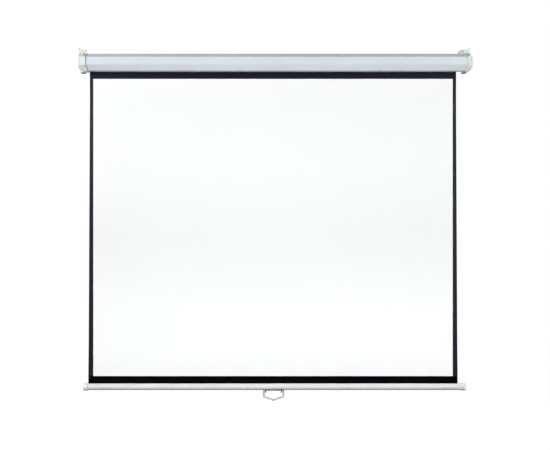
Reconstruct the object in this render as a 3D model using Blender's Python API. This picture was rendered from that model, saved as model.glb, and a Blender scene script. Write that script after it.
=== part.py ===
"""A pull-down projection screen, shown pulled down.

It is a casing with two end caps, a spring roller with its pawl lock, the cloth, a bottom bar and a handle.
Lengths are in metres and angles in degrees, with +Z up. The wall is the plane Y = 0 and the cloth faces -Y.
The origin lies on the wall, level with the roller's axis and midway between the keyholes in the end caps.
"""
import math
from dataclasses import dataclass

import bmesh
import bpy
from mathutils import Matrix, Vector

# Clearances
SEAT_GAP = 0.0003  # between pieces that touch
RUNNING_GAP = 0.0003  # round a shaft, pin or nose that moves
CUT_MARGIN = 0.001  # how far a cutter runs past the face it opens

# Roundness
ROUND_STEPS = 40
SMALL_ROUND_STEPS = 20
PIN_STEPS = 12
FOLD_STEPS = 3
SMOOTH_ANGLE = 35.0
WELD_DISTANCE = 0.000005  # points this close after a cut are one point

# Projection cloth
FIELD_WIDTH = 1.500
FIELD_HEIGHT = 1.240
FIELD_THICKNESS = 0.00015
BACKING_THICKNESS = 0.00035
TOP_BORDER = 0.0265  # shows below the casing
BOTTOM_BORDER = 0.0304  # shows above the bar
SIDE_BORDER = 0.014  # at the top of the cloth
SIDE_FLARE = 0.0065  # how much wider each side border is at the foot
WRAP_THICKNESS = 0.0005  # of the cloth that stays on the roller

# Casing profile
CASING_HEIGHT = 0.0695
CASING_DEPTH = 0.072
CASING_BEVEL_HEIGHT = 0.019
CASING_BEVEL_DEPTH = 0.021
CASING_WALL = 0.001
CASING_FOLD_RADIUS = 0.0022
CASING_LIP = 0.006  # turned-in edge on each side of the cloth slot
SLOT_ROOM_FRONT = 0.0075
SLOT_ROOM_REAR = 0.0075

# End caps
IDLE_ROOM = 0.030  # from the roller's left end to the left cap's outer face
LOCK_ROOM = 0.050  # from the roller's right end to the right cap's outer face
CAP_WALL = 0.0022
CAP_END_WALL = 0.003
CAP_LEDGE = 0.0015  # the inner step that the casing's end meets
CAP_FRONT_TAPER = 0.017
CAP_TOP_TAPER = 0.0107
CAP_END_BEVEL_DEPTH = 0.013
CAP_EDGE_ROUND = 0.0012
CAP_RIB = 0.0016
CAP_RIB_LENGTH = 0.011
CAP_RIB_ROOT = 0.001  # how deep a rib's root sinks into the cap's wall
BOSS_RADIUS = 0.009
RELIEF_HEIGHT = 0.015  # of the cutter that clears the left cap's edge from the cloth slot
RELIEF_TOP = 0.014  # how far below the roller's axis that cutter ends
TONGUE_OVERHANG = 0.0015  # of the right cap's tongue, beyond its buffer
TONGUE_FRONT_MARGIN = 0.003
KEYHOLE_INSET = 0.0085
KEYHOLE_SLOT_RADIUS = 0.0023
KEYHOLE_ENTRY_RADIUS = 0.0042
KEYHOLE_DROP = 0.009
KEYHOLE_DEPTH = 0.007

# Cap screws
SCREW_RADIUS = 0.00145
SCREW_TIP_RADIUS = 0.0006
SCREW_TIP_LENGTH = 0.003
SCREW_HEAD_RADIUS = 0.0032
SCREW_HEAD_EDGE = 0.0009  # height of the head's upright rim
SCREW_CROWN_RADIUS = 0.0023
SCREW_HEAD_HEIGHT = 0.0017
SCREW_RECESS_WIDTH = 0.0007
SCREW_RECESS_REACH = 0.0017
SCREW_RECESS_DEPTH = 0.0009
CAP_SCREW_LENGTH = 0.009
CAP_SCREW_INSET = 0.0048  # from where the cap's taper starts
TOP_SCREW_INSET = 0.0042  # from the cap's rear bevel
COUNTERBORE_RADIUS = 0.0040
COUNTERBORE_DEPTH = 0.0011

# Hanger brackets and their seats on the caps
HANGER_STRAP = 0.003
HANGER_LENGTH = 0.0264
HANGER_DEPTH = 0.022
HANGER_FRONT = 0.0195  # behind the front of the casing
HANGER_HEIGHT = 0.0137
HANGER_TIP = 0.007
HANGER_SOCKET_DEPTH = 0.0055
HANGER_SEAT_WALL = 0.0015
HANGER_SEAT_DEPTH = 0.0035  # thickness of the seat below its socket
HANGER_HOLE_RADIUS = 0.0035
HANGER_EDGE_ROUND = 0.0008

# Wall ear behind the casing, at the right end
EAR_INSET = 0.0277  # from the end of the right cap
EAR_RADIUS = 0.0145
EAR_HEIGHT = 0.0522  # of its hole above the roller's axis
EAR_STEM_WIDTH = 0.020
EAR_FOOT = 0.014  # how far it reaches below the roller's axis
EAR_THICKNESS = 0.0015
EAR_HOLE_RADIUS = 0.0032

# Buffers for the bottom bar
BUFFER_LENGTH = 0.016
BUFFER_DEPTH = 0.016
BUFFER_OFFSET = -0.004  # of its middle, in front of the bar's
BUFFER_HEIGHT = 0.0012
BUFFER_EDGE_ROUND = 0.0004
BUFFER_SEAT_MARGIN = 0.001

# Roller and its idle end
ROLLER_RADIUS = 0.014
ROLLER_WALL = 0.001
ROLLER_MARGIN = 0.007  # beyond the cloth's edges
PLUG_FLANGE_RADIUS = 0.016
PLUG_FLANGE = 0.004
IDLE_SPIGOT = 0.024
IDLE_PIN_RADIUS = 0.004
IDLE_PIN_COLLAR_RADIUS = 0.0065
IDLE_PIN_COLLAR = 0.002
IDLE_BUSH_WALL = 0.0018
IDLE_BOSS_LENGTH = 0.016
PIN_SOCKET_DEPTH = 0.014

# Spindle, spring and lock
SPINDLE_RADIUS = 0.0035
SPINDLE_OVERHANG = 0.0094  # beyond the spring plug
SPINDLE_COLLAR_RADIUS = 0.006
SPINDLE_COLLAR = 0.003
SPADE_WIDTH = 0.010
SPADE_THICKNESS = 0.004
SPADE_LENGTH = 0.010
LOCK_BOSS_LENGTH = 0.012
LOCK_SPIGOT = 0.022
LOCK_PLATE = 0.0037
LOCK_CUP_RADIUS = 0.018
LOCK_CUP_WALL = 0.0015
LOCK_CUP_DEPTH = 0.0125
RATCHET_RADIUS = 0.008
RATCHET_FLOOR_RADIUS = 0.005
RATCHET_THICKNESS = 0.005
RATCHET_OFFSET = 0.0012  # between the lock plug's plate and the ratchet
RATCHET_RAMP_ANGLE = 55.0
RATCHET_STOP_ANGLE = 50.0  # from the pawl's pivot to the face that stops its nose
PAWL_PIVOT_ANGLE = 70.0
PAWL_PIVOT_RADIUS = 0.0133
PAWL_HEEL_RADIUS = 0.0026
PAWL_NOSE_RADIUS = 0.0012
PAWL_REACH = 0.0087  # from the pivot to the middle of the nose
PAWL_PIN_RADIUS = 0.0012
PAWL_PIN_HEAD_RADIUS = 0.0020
PAWL_PIN_HEAD = 0.0008
SPRING_COLLAR_RADIUS = 0.0105
SPRING_COLLAR_LENGTH = 0.008
SPRING_COLLAR_GAP = 0.003
SPRING_LENGTH = 0.200
SPRING_RADIUS = 0.0085
SPRING_WIRE = 0.0015
SPRING_LOOPS = 24
SPRING_LOOP_POINTS = 10
SPRING_WIRE_SIDES = 6
SPRING_BEND = 0.002
SPRING_BEND_STEPS = 3
SPRING_LEG = 0.002
SPRING_PLUG_LENGTH = 0.012

# Bottom bar
LEFT_BAR_MARGIN = 0.01815  # from the cloth's foot to the end of the bar's cap
RIGHT_BAR_MARGIN = 0.03115
BAR_RADIUS = 0.01355
BAR_WALL = 0.0012
BAR_SLOT = 0.003
BAR_CAP_RADIUS = 0.016
BAR_CAP_END = 0.003
BAR_CAP_ROUND = 0.004
LEFT_BAR_CAP_LENGTH = 0.0176
RIGHT_BAR_CAP_LENGTH = 0.0138
HEM_ROD_RADIUS = 0.003
HEM_ROD_OVERHANG = 0.005

# Handle
HANDLE_OFFSET = -0.0041  # from the middle of the bar
HANDLE_BASE_LENGTH = 0.073
HANDLE_BASE_THICKNESS = 0.0025
HANDLE_BASE_ANGLE = 130.0  # how far the base wraps round the bar
HANDLE_BASE_ROUND = 0.0007
EAR_TAB_INSET = 0.0012  # from the end of the base
EAR_TAB_THICKNESS = 0.005
EAR_TAB_RADIUS = 0.0064
PIVOT_DROP = 0.003  # of the handle's pivot below its base
HANDLE_SCREW_SPACING = 0.036
HANDLE_SCREW_LENGTH = 0.008
PIVOT_STUB_RADIUS = 0.0023
BAIL_RADIUS = 0.0036
BAIL_EYE_RADIUS = 0.0052
BAIL_SIDE_GAP = 0.0009  # between each side of the bail and the base's end
BAIL_SIDE_DROP = 0.0225
BAIL_SHOULDER_HALF_WIDTH = 0.008
BAIL_SHOULDER_DROP = 0.0325
BAIL_POINT_DROP = 0.0380
BAIL_BEND = 0.0055
BAIL_SIDES = 12


@dataclass(frozen=True)
class Finish:
    """How a material looks: a colour in sRGB, its roughness and how metallic it is."""

    colour: str
    roughness: float
    metallic: float = 0.0


WHITE_PAINT = Finish("#dfe5e8", 0.35)
WHITE_MOULDING = Finish("#e6eaec", 0.45)
BRACKET_PAINT = Finish("#e3e6e5", 0.40)
GREY_ZINC = Finish("#aeb6b8", 0.40, 0.8)
BLACK_ZINC = Finish("#2b2c2e", 0.45, 0.6)
STEEL = Finish("#b9bcbe", 0.35, 1.0)
SPRING_STEEL = Finish("#8f9193", 0.35, 1.0)
BRASS = Finish("#b59a5b", 0.35, 1.0)
DARK_RUBBER = Finish("#3e4144", 0.80)
GREY_NYLON = Finish("#8d9194", 0.50)
CLOTH_WHITE = Finish("#fcfcfc", 0.90)
CLOTH_BLACK = Finish("#060709", 0.85)


@dataclass(frozen=True)
class CapSize:
    """What differs between the two end caps; side is -1 at the left and +1 at the right."""

    side: int
    taper: float
    cover: float
    hanger_inset: float
    boss: float
    buffer_inset: float


LEFT_CAP = CapSize(
    side=-1, taper=0.0217, cover=0.0147, hanger_inset=0.0015, boss=IDLE_BOSS_LENGTH, buffer_inset=0.0025
)
RIGHT_CAP = CapSize(
    side=1, taper=0.0160, cover=0.0118, hanger_inset=0.0100, boss=LOCK_BOSS_LENGTH, buffer_inset=0.0190
)

# Places that follow from the sizes above
CASING_BACK_Y = -(CAP_WALL + SEAT_GAP)
CASING_FRONT_Y = CASING_BACK_Y - CASING_DEPTH
CASING_TOP_Z = CASING_HEIGHT / 2
CASING_BOTTOM_Z = -CASING_HEIGHT / 2
CAP_STAND = CAP_WALL + SEAT_GAP  # how far a cap's outside stands proud of the casing
CAP_TOP_Z = CASING_TOP_Z + CAP_STAND
ROLLER_Y = (CASING_FRONT_Y + CASING_BACK_Y) / 2
WRAP_RADIUS = ROLLER_RADIUS + SEAT_GAP + WRAP_THICKNESS
CLOTH_FRONT_Y = ROLLER_Y + WRAP_RADIUS + SEAT_GAP
CLOTH_BACK_Y = CLOTH_FRONT_Y + BACKING_THICKNESS
FIELD_TOP_Z = CASING_BOTTOM_Z - TOP_BORDER
FIELD_BOTTOM_Z = FIELD_TOP_Z - FIELD_HEIGHT
CLOTH_MIDDLE = (IDLE_ROOM - LOCK_ROOM) / 2
CLOTH_TOP_LEFT = CLOTH_MIDDLE - FIELD_WIDTH / 2 - SIDE_BORDER
CLOTH_TOP_RIGHT = CLOTH_MIDDLE + FIELD_WIDTH / 2 + SIDE_BORDER
CLOTH_FOOT_LEFT = CLOTH_TOP_LEFT - SIDE_FLARE
CLOTH_FOOT_RIGHT = CLOTH_TOP_RIGHT + SIDE_FLARE
ROLLER_LEFT = CLOTH_TOP_LEFT - ROLLER_MARGIN
ROLLER_RIGHT = CLOTH_TOP_RIGHT + ROLLER_MARGIN
OVERALL_LENGTH = ROLLER_RIGHT - ROLLER_LEFT + IDLE_ROOM + LOCK_ROOM
ROLLER_BORE = ROLLER_RADIUS - ROLLER_WALL
BAR_Y = (CLOTH_FRONT_Y + CLOTH_BACK_Y) / 2
BAR_Z = FIELD_BOTTOM_Z - BOTTOM_BORDER - BAR_RADIUS
BAR_LEFT = CLOTH_FOOT_LEFT - LEFT_BAR_MARGIN
BAR_RIGHT = CLOTH_FOOT_RIGHT + RIGHT_BAR_MARGIN
BAR_MIDDLE = (BAR_LEFT + BAR_RIGHT) / 2
HEM_RADIUS = HEM_ROD_RADIUS + SEAT_GAP + BACKING_THICKNESS
HEM_ROD_Z = BAR_Z + BAR_RADIUS - BAR_WALL - SEAT_GAP - HEM_RADIUS
HANDLE_MIDDLE = BAR_MIDDLE + HANDLE_OFFSET
HANDLE_BASE_BOTTOM_Z = BAR_Z - BAR_RADIUS - SEAT_GAP - HANDLE_BASE_THICKNESS
HANDLE_PIVOT_Z = HANDLE_BASE_BOTTOM_Z - PIVOT_DROP
BAIL_HALF_WIDTH = HANDLE_BASE_LENGTH / 2 + BAIL_SIDE_GAP + BAIL_RADIUS
LOCK_PLATE_X = ROLLER_RIGHT + SEAT_GAP
LOCK_CUP_X = LOCK_PLATE_X + LOCK_PLATE
RATCHET_X = LOCK_CUP_X + RATCHET_OFFSET
SPRING_COLLAR_RIGHT = ROLLER_RIGHT - LOCK_SPIGOT - SPRING_COLLAR_GAP
SPRING_RIGHT = SPRING_COLLAR_RIGHT - SPRING_COLLAR_LENGTH - SEAT_GAP
SPRING_LEFT = SPRING_RIGHT - SPRING_LENGTH
SPRING_PLUG_RIGHT = SPRING_LEFT - SEAT_GAP
SPRING_PLUG_LEFT = SPRING_PLUG_RIGHT - SPRING_PLUG_LENGTH


def cap_face(cap, inset):
    """X at a distance inwards from the cap's outer face."""
    return cap.side * (OVERALL_LENGTH / 2 - inset)


def clear_scene():
    for old in list(bpy.data.objects):
        bpy.data.objects.remove(old, do_unlink=True)


# Materials


def linear_colour(code):
    """An sRGB hex colour as the linear values that a shader takes."""
    channels = [int(code[i : i + 2], 16) / 255 for i in (1, 3, 5)]
    return [c / 12.92 if c <= 0.04045 else ((c + 0.055) / 1.055) ** 2.4 for c in channels] + [1.0]


def material(name, finish):
    made = bpy.data.materials.new(name)
    made.use_nodes = True
    shader = made.node_tree.nodes["Principled BSDF"]
    shader.inputs["Base Color"].default_value = linear_colour(finish.colour)
    shader.inputs["Roughness"].default_value = finish.roughness
    shader.inputs["Metallic"].default_value = finish.metallic
    made.diffuse_color = linear_colour(finish.colour)
    return made


# Meshes


def rings_mesh(rings, closed_round=False):
    """A closed mesh through rings of points. A ring of one point closes an end.

    With closed_round the last ring joins the first.
    """
    mesh = bmesh.new()
    made = [[mesh.verts.new(point) for point in ring] for ring in rings]
    pairs = list(zip(made, made[1:]))
    if closed_round:
        pairs.append((made[-1], made[0]))
    for first, second in pairs:
        count = max(len(first), len(second))
        for i in range(count):
            corners = [first[i % len(first)], first[(i + 1) % len(first)]]
            corners += [second[(i + 1) % len(second)], second[i % len(second)]]
            mesh.faces.new(list(dict.fromkeys(corners)))
    if not closed_round:
        for end in (made[0], made[-1]):
            if len(end) > 1:
                mesh.faces.new(end)
    bmesh.ops.recalc_face_normals(mesh, faces=mesh.faces)
    return mesh


def piece(name, mesh, finish, origin=(0.0, 0.0, 0.0), axis=(0.0, 0.0, 1.0)):
    """An object from a mesh whose own Z runs along axis, with its own material and smooth round faces."""
    data = bpy.data.meshes.new(name)
    mesh.to_mesh(data)
    mesh.free()
    made = bpy.data.objects.new(name, data)
    bpy.context.scene.collection.objects.link(made)
    made.location = origin
    made.rotation_mode = "QUATERNION"
    made.rotation_quaternion = Vector((0, 0, 1)).rotation_difference(Vector(axis))
    if finish:
        data.materials.append(material(name, finish))
    data.shade_smooth()
    data.set_sharp_from_angle(angle=math.radians(SMOOTH_ANGLE))
    return made


def evaluated(made):
    """Turn the piece's modifiers into faces, weld points that fall together and make every face flat."""
    bpy.context.view_layer.update()
    depsgraph = bpy.context.evaluated_depsgraph_get()
    fresh = bpy.data.meshes.new_from_object(made.evaluated_get(depsgraph))
    made.modifiers.clear()
    stale = made.data
    made.data = fresh
    bpy.data.meshes.remove(stale)
    fresh.name = made.name
    mesh = bmesh.new()
    mesh.from_mesh(fresh)
    bmesh.ops.remove_doubles(mesh, verts=mesh.verts, dist=WELD_DISTANCE)
    bmesh.ops.dissolve_degenerate(mesh, edges=mesh.edges, dist=WELD_DISTANCE)
    bmesh.ops.triangulate(mesh, faces=mesh.faces)
    mesh.to_mesh(fresh)
    mesh.free()
    fresh.set_sharp_from_angle(angle=math.radians(SMOOTH_ANGLE))
    return made


def combine(target, operation, tools):
    """Join, cut or intersect the target with each tool in turn, and remove the tools."""
    for tool in tools:
        step = target.modifiers.new(operation, "BOOLEAN")
        step.operation = operation
        step.object = tool
        evaluated(target)
        bpy.data.objects.remove(tool, do_unlink=True)
    return target


def rounded(made, width, steps=2, angle=25.0):
    """Round the piece's edges that turn by more than angle."""
    bevel = made.modifiers.new("round", "BEVEL")
    bevel.width = width
    bevel.segments = steps
    bevel.limit_method = "ANGLE"
    bevel.angle_limit = math.radians(angle)
    return evaluated(made)


def extruded(name, outline, start, end, finish=None):
    """A (y, z) outline drawn out along X."""
    rings = [[(x, y, z) for y, z in outline] for x in (start, end)]
    return piece(name, rings_mesh(rings), finish)


def box(name, low, high, finish=None):
    """A block between two corners."""
    outline = [(low[1], low[2]), (high[1], low[2]), (high[1], high[2]), (low[1], high[2])]
    return extruded(name, outline, low[0], high[0], finish)


def turned(
    name, profile, finish=None, origin=(0.0, 0.0, 0.0), axis=(1.0, 0.0, 0.0), steps=ROUND_STEPS, hollow=False
):
    """A profile of (radius, height) points turned about axis; hollow joins its last point to its first."""
    rings = []
    for radius, height in profile:
        if radius == 0:
            rings.append([(0.0, 0.0, height)])
            continue
        angles = [2 * math.pi * i / steps for i in range(steps)]
        rings.append([(radius * math.cos(a), radius * math.sin(a), height) for a in angles])
    return piece(name, rings_mesh(rings, closed_round=hollow), finish, origin, axis)


def rod(name, radius, start, end, finish=None, steps=ROUND_STEPS, y=0.0, z=0.0):
    """A round bar along X."""
    profile = [(0, start), (radius, start), (radius, end), (0, end)]
    return turned(name, profile, finish, (0, y, z), steps=steps)


def tube(name, outer, inner, start, end, finish, y, z):
    """A round tube along X."""
    profile = [(outer, start), (outer, end), (inner, end), (inner, start)]
    return turned(name, profile, finish, (0, y, z), hollow=True)


def swept(name, path, radius, sides, finish):
    """A round wire along a path, with its ends square."""
    points = [Vector(p) for p in path]
    ways = [(b - a).normalized() for a, b in zip(points, points[1:])]
    tangents = [ways[0]] + [(a + b).normalized() for a, b in zip(ways, ways[1:])] + [ways[-1]]
    normal = tangents[0].orthogonal().normalized()
    rings = []
    for point, tangent in zip(points, tangents):
        normal = (normal - tangent * normal.dot(tangent)).normalized()
        side = tangent.cross(normal)
        angles = [2 * math.pi * i / sides for i in range(sides)]
        rings.append([point + radius * (math.cos(a) * normal + math.sin(a) * side) for a in angles])
    return piece(name, rings_mesh(rings), finish)


# Outlines in the (y, z) or (x, z) plane


def arc(centre, radius, start, end, steps):
    """Points on an arc, its angles in degrees from the first axis towards the second."""
    angles = [math.radians(start + (end - start) * i / steps) for i in range(steps + 1)]
    return [(centre[0] + radius * math.cos(a), centre[1] + radius * math.sin(a)) for a in angles]


def rounded_path(points, radius, steps=FOLD_STEPS):
    """An open path with each corner replaced by an arc of the given radius."""
    path = [Vector(points[0])]
    for before, corner, after in zip(points, points[1:], points[2:]):
        corner = Vector(corner)
        back = (Vector(before) - corner).normalized()
        ahead = (Vector(after) - corner).normalized()
        half = back.angle(ahead) / 2
        centre = corner + (back + ahead).normalized() * radius / math.sin(half)
        spread = math.pi / 2 - half
        middle = corner - centre
        turn = 1 if back.x * ahead.y - back.y * ahead.x < 0 else -1
        for i in range(steps + 1):
            angle = turn * spread * (2 * i / steps - 1)
            spoke = Matrix.Rotation(angle, 2) @ middle.normalized()
            path.append(centre + spoke * radius)
    path.append(Vector(points[-1]))
    return [tuple(p) for p in path]


def offset_path(points, distance):
    """An open path moved to its right by distance, with mitred corners."""
    moved = []
    ways = [(Vector(b) - Vector(a)).normalized() for a, b in zip(points, points[1:])]
    for i, point in enumerate(points):
        before = ways[max(i - 1, 0)]
        after = ways[min(i, len(ways) - 1)]
        right = Vector((before.y + after.y, -before.x - after.x)).normalized()
        mitre = right.dot(Vector((after.y, -after.x)))
        moved.append(tuple(Vector(point) + right * distance / mitre))
    return moved


def octagon(front, back, bottom, top, bevel_depth, bevel_height):
    """Eight corners, from the bottom's front edge up the front, over the top and down the back."""
    return [
        (front + bevel_depth, bottom),
        (front, bottom + bevel_height),
        (front, top - bevel_height),
        (front + bevel_depth, top),
        (back - bevel_depth, top),
        (back, top - bevel_height),
        (back, bottom + bevel_height),
        (back - bevel_depth, bottom),
    ]


def grown(outline, distance):
    """A closed outline in octagon's order, moved outwards by distance."""
    return offset_path([outline[-1], *outline, outline[0]], -distance)[1:-1]


def casing_octagon():
    return octagon(
        CASING_FRONT_Y, CASING_BACK_Y, CASING_BOTTOM_Z, CASING_TOP_Z, CASING_BEVEL_DEPTH, CASING_BEVEL_HEIGHT
    )


def link_outline(heel, nose, heel_radius, nose_radius, steps=6):
    """A tapered link round two circles."""
    heel, nose = Vector(heel), Vector(nose)
    along = nose - heel
    facing = math.degrees(math.atan2(along.y, along.x))
    lean = 90 - math.degrees(math.asin((heel_radius - nose_radius) / along.length))
    back = arc(heel, heel_radius, facing + lean, facing + 360 - lean, 2 * steps)
    front = arc(nose, nose_radius, facing - lean, facing + lean, steps)
    return back + front


# Casing and end caps


def slot_edges():
    """Y of the casing's edges in front of and behind the cloth."""
    return CLOTH_FRONT_Y - SLOT_ROOM_FRONT, CLOTH_BACK_Y + SLOT_ROOM_REAR


def screw_places():
    """Name, cap, point on the cap's surface and outward direction of each cap screw."""
    outline = grown(casing_octagon(), CAP_STAND)
    bevel_foot, bevel_head = Vector(outline[2]), Vector(outline[3])
    along = (bevel_head - bevel_foot).normalized()
    bevel_middle = (bevel_foot + bevel_head) / 2
    top_rear = outline[4]
    places = []
    for cap, end in ((LEFT_CAP, "left"), (RIGHT_CAP, "right")):
        x = cap_face(cap, cap.taper + CAP_SCREW_INSET)
        front = Vector((x, *bevel_middle))
        top = Vector((x, top_rear[0] - TOP_SCREW_INSET, top_rear[1]))
        places.append((f"{end}_cap_front_screw", cap, front, Vector((0, -along.y, along.x))))
        places.append((f"{end}_cap_top_screw", cap, top, Vector((0, 0, 1))))
    return places


def screw(name, seat, outwards, length, finish):
    """A pan-head screw with a cross recess, whose head rests on seat."""
    low = SEAT_GAP
    high = low + SCREW_HEAD_HEIGHT
    profile = [
        (0, -length),
        (SCREW_TIP_RADIUS, -length),
        (SCREW_RADIUS, -length + SCREW_TIP_LENGTH),
        (SCREW_RADIUS, low),
        (SCREW_HEAD_RADIUS, low),
        (SCREW_HEAD_RADIUS, low + SCREW_HEAD_EDGE),
        (SCREW_CROWN_RADIUS, high),
        (0, high),
    ]
    made = turned(name, profile, finish, seat, outwards, steps=SMALL_ROUND_STEPS)
    across = Vector((1, 0, 0))
    crown = Vector(seat) + Vector(outwards) * high
    arms = [recess_arm(crown, outwards, way) for way in (across, across.cross(Vector(outwards)))]
    return combine(made, "DIFFERENCE", arms)


def recess_arm(crown, outwards, way):
    """A cutter for one bar of a screw's cross recess, which runs along way."""
    outwards = Vector(outwards)
    side = way.cross(outwards) * SCREW_RECESS_WIDTH / 2
    reach = way * SCREW_RECESS_REACH
    corners = [reach + side, reach - side, -reach - side, -reach + side]
    floor = crown - outwards * SCREW_RECESS_DEPTH
    roof = crown + outwards * CUT_MARGIN
    rings = [[tuple(level + corner) for corner in corners] for level in (floor, roof)]
    return piece("recess", rings_mesh(rings), None)


def screw_hole(seat, outwards, depth):
    """A cutter for a screw's clearance hole."""
    radius = SCREW_RADIUS + SEAT_GAP
    profile = [(0, -depth), (radius, -depth), (radius, CUT_MARGIN), (0, CUT_MARGIN)]
    return turned("screw_hole", profile, None, seat, outwards, steps=SMALL_ROUND_STEPS)


def counterbore(surface, outwards):
    radius, depth = COUNTERBORE_RADIUS, COUNTERBORE_DEPTH
    profile = [(0, -depth), (radius, -depth), (radius, CUT_MARGIN), (0, CUT_MARGIN)]
    return turned("counterbore", profile, None, surface, outwards, steps=SMALL_ROUND_STEPS)


def make_casing():
    """One folded sheet, open at its lower rear corner, with both edges turned in."""
    slot_front, slot_rear = slot_edges()
    corners = casing_octagon()
    up_bevel = (slot_rear - corners[7][0]) / CASING_BEVEL_DEPTH
    rear_edge_z = CASING_BOTTOM_Z + up_bevel * CASING_BEVEL_HEIGHT
    path = [(slot_front, CASING_BOTTOM_Z + CASING_LIP), (slot_front, CASING_BOTTOM_Z)]
    path += corners[:7]
    path += [(slot_rear, rear_edge_z), (slot_rear, rear_edge_z + CASING_LIP)]
    outside = rounded_path(path, CASING_FOLD_RADIUS)
    outline = outside + offset_path(outside, CASING_WALL)[::-1]
    left = cap_face(LEFT_CAP, LEFT_CAP.taper + SEAT_GAP)
    right = cap_face(RIGHT_CAP, RIGHT_CAP.taper + SEAT_GAP)
    casing = extruded("casing_shell", outline, left, right, WHITE_PAINT)
    holes = [screw_hole(point, outwards, CAP_SCREW_LENGTH) for _, _, point, outwards in screw_places()]
    return combine(casing, "DIFFERENCE", holes)


def cap_shell(name, cap):
    """The cap's tapered octagonal cup, with a ledge inside that the casing's end meets."""
    casing = casing_octagon()
    full = grown(casing, CAP_STAND)
    half_height = CAP_TOP_Z - CAP_TOP_TAPER
    flat_half = full[2][1]
    end = octagon(
        full[1][0] + CAP_FRONT_TAPER, full[5][0], -half_height, half_height,
        CAP_END_BEVEL_DEPTH, half_height - flat_half,
    )
    mouth = cap_face(cap, cap.taper + cap.cover)
    shoulder = cap_face(cap, cap.taper)
    face = cap_face(cap, 0)

    def loft(label, *sections, finish=None):
        rings = [[(x, y, z) for y, z in outline] for x, outline in sections]
        return piece(label, rings_mesh(rings), finish)

    shell = loft(name, (mouth, full), (shoulder, full), (face, end), finish=WHITE_MOULDING)
    rounded(shell, CAP_EDGE_ROUND)
    sleeve = loft(
        "sleeve",
        (mouth - cap.side * CUT_MARGIN, grown(casing, SEAT_GAP)),
        (shoulder, grown(casing, SEAT_GAP)),
    )
    inner = grown(casing, -(CASING_WALL + CAP_LEDGE))
    floor = grown(end, -CAP_WALL)
    hollow = loft(
        "hollow",
        (shoulder - cap.side * CUT_MARGIN, inner),
        (shoulder, inner),
        (cap_face(cap, CAP_END_WALL), floor),
    )
    combine(shell, "DIFFERENCE", [sleeve, hollow])
    rib_space = loft(
        "rib_space",
        (shoulder, grown(inner, CAP_RIB_ROOT)),
        (cap_face(cap, CAP_END_WALL - CAP_RIB_ROOT), grown(floor, CAP_RIB_ROOT)),
    )
    low_x, high_x = span(face, cap_face(cap, CAP_END_WALL + CAP_RIB_LENGTH))
    half = CAP_RIB / 2
    upright = box("upright_rib", (low_x, ROLLER_Y - half, -CAP_TOP_Z), (high_x, ROLLER_Y + half, CAP_TOP_Z))
    front = box("front_rib", (low_x, CASING_FRONT_Y - CAP_WALL, -half), (high_x, ROLLER_Y, half))
    ribs = combine(combine(upright, "UNION", [front]), "INTERSECT", [rib_space])
    boss_face = cap_face(cap, CAP_END_WALL + cap.boss)
    boss_root = cap_face(cap, CAP_END_WALL - CAP_RIB_ROOT)
    boss = rod("boss", BOSS_RADIUS, *sorted((boss_face, boss_root)), y=ROLLER_Y)
    return combine(shell, "UNION", [ribs, boss])


def hanger_leg(cap):
    """X of the bracket leg's outer and inner faces."""
    return cap_face(cap, cap.hanger_inset), cap_face(cap, cap.hanger_inset + HANGER_STRAP)


def span(first, second):
    return min(first, second), max(first, second)


def hanger_depths():
    front = CASING_FRONT_Y + HANGER_FRONT
    return front, front + HANGER_DEPTH


def hanger_seat(cap):
    """The raised pad on the cap that holds the bracket's leg."""
    outer, inner = hanger_leg(cap)
    low_x, high_x = span(outer + cap.side * HANGER_SEAT_WALL, inner - cap.side * HANGER_SEAT_WALL)
    front, rear = hanger_depths()
    low = (low_x, front - HANGER_SEAT_WALL, CAP_TOP_Z - HANGER_SOCKET_DEPTH - HANGER_SEAT_DEPTH)
    high = (high_x, rear + HANGER_SEAT_WALL, CAP_TOP_Z)
    return box("hanger_seat", low, high)


def hanger_socket(cap):
    outer, inner = hanger_leg(cap)
    low_x, high_x = span(outer + cap.side * SEAT_GAP, inner - cap.side * SEAT_GAP)
    front, rear = hanger_depths()
    low = (low_x, front - SEAT_GAP, CAP_TOP_Z - HANGER_SOCKET_DEPTH)
    high = (high_x, rear + SEAT_GAP, CAP_TOP_Z + CUT_MARGIN)
    return box("hanger_socket", low, high)


def keyhole(cap):
    """A cutter through the cap's back: a round entry with a narrow slot above it."""
    x = cap_face(cap, KEYHOLE_INSET)
    outline = arc((x, 0), KEYHOLE_SLOT_RADIUS, 0, 180, 8)
    half = math.degrees(math.asin(KEYHOLE_SLOT_RADIUS / KEYHOLE_ENTRY_RADIUS))
    outline += arc((x, -KEYHOLE_DROP), KEYHOLE_ENTRY_RADIUS, 90 + half, 450 - half, 16)
    rings = [[(px, y, pz) for px, pz in outline] for y in (-KEYHOLE_DEPTH, CUT_MARGIN)]
    return piece("keyhole", rings_mesh(rings), None)


def cloth_relief(cap):
    """A cutter that keeps the cap's edge clear of the cloth slot."""
    low_x, high_x = span(cap_face(cap, cap.taper), cap_face(cap, cap.taper + cap.cover + CUT_MARGIN))
    slot_front, slot_rear = slot_edges()
    low = (low_x, slot_front, CASING_BOTTOM_Z - RELIEF_HEIGHT)
    high = (high_x, slot_rear, -RELIEF_TOP)
    return box("relief", low, high)


def buffer_seat(cap, length, height):
    """A flat pad level with the cap's underside, which carries the buffer."""
    start = cap.buffer_inset - BUFFER_SEAT_MARGIN
    low_x, high_x = span(cap_face(cap, start), cap_face(cap, start + length))
    front, rear = buffer_depths()
    low = (low_x, front - BUFFER_SEAT_MARGIN, -CAP_TOP_Z)
    high = (high_x, rear + BUFFER_SEAT_MARGIN, -CAP_TOP_Z + height)
    return box("buffer_seat", low, high)


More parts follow.
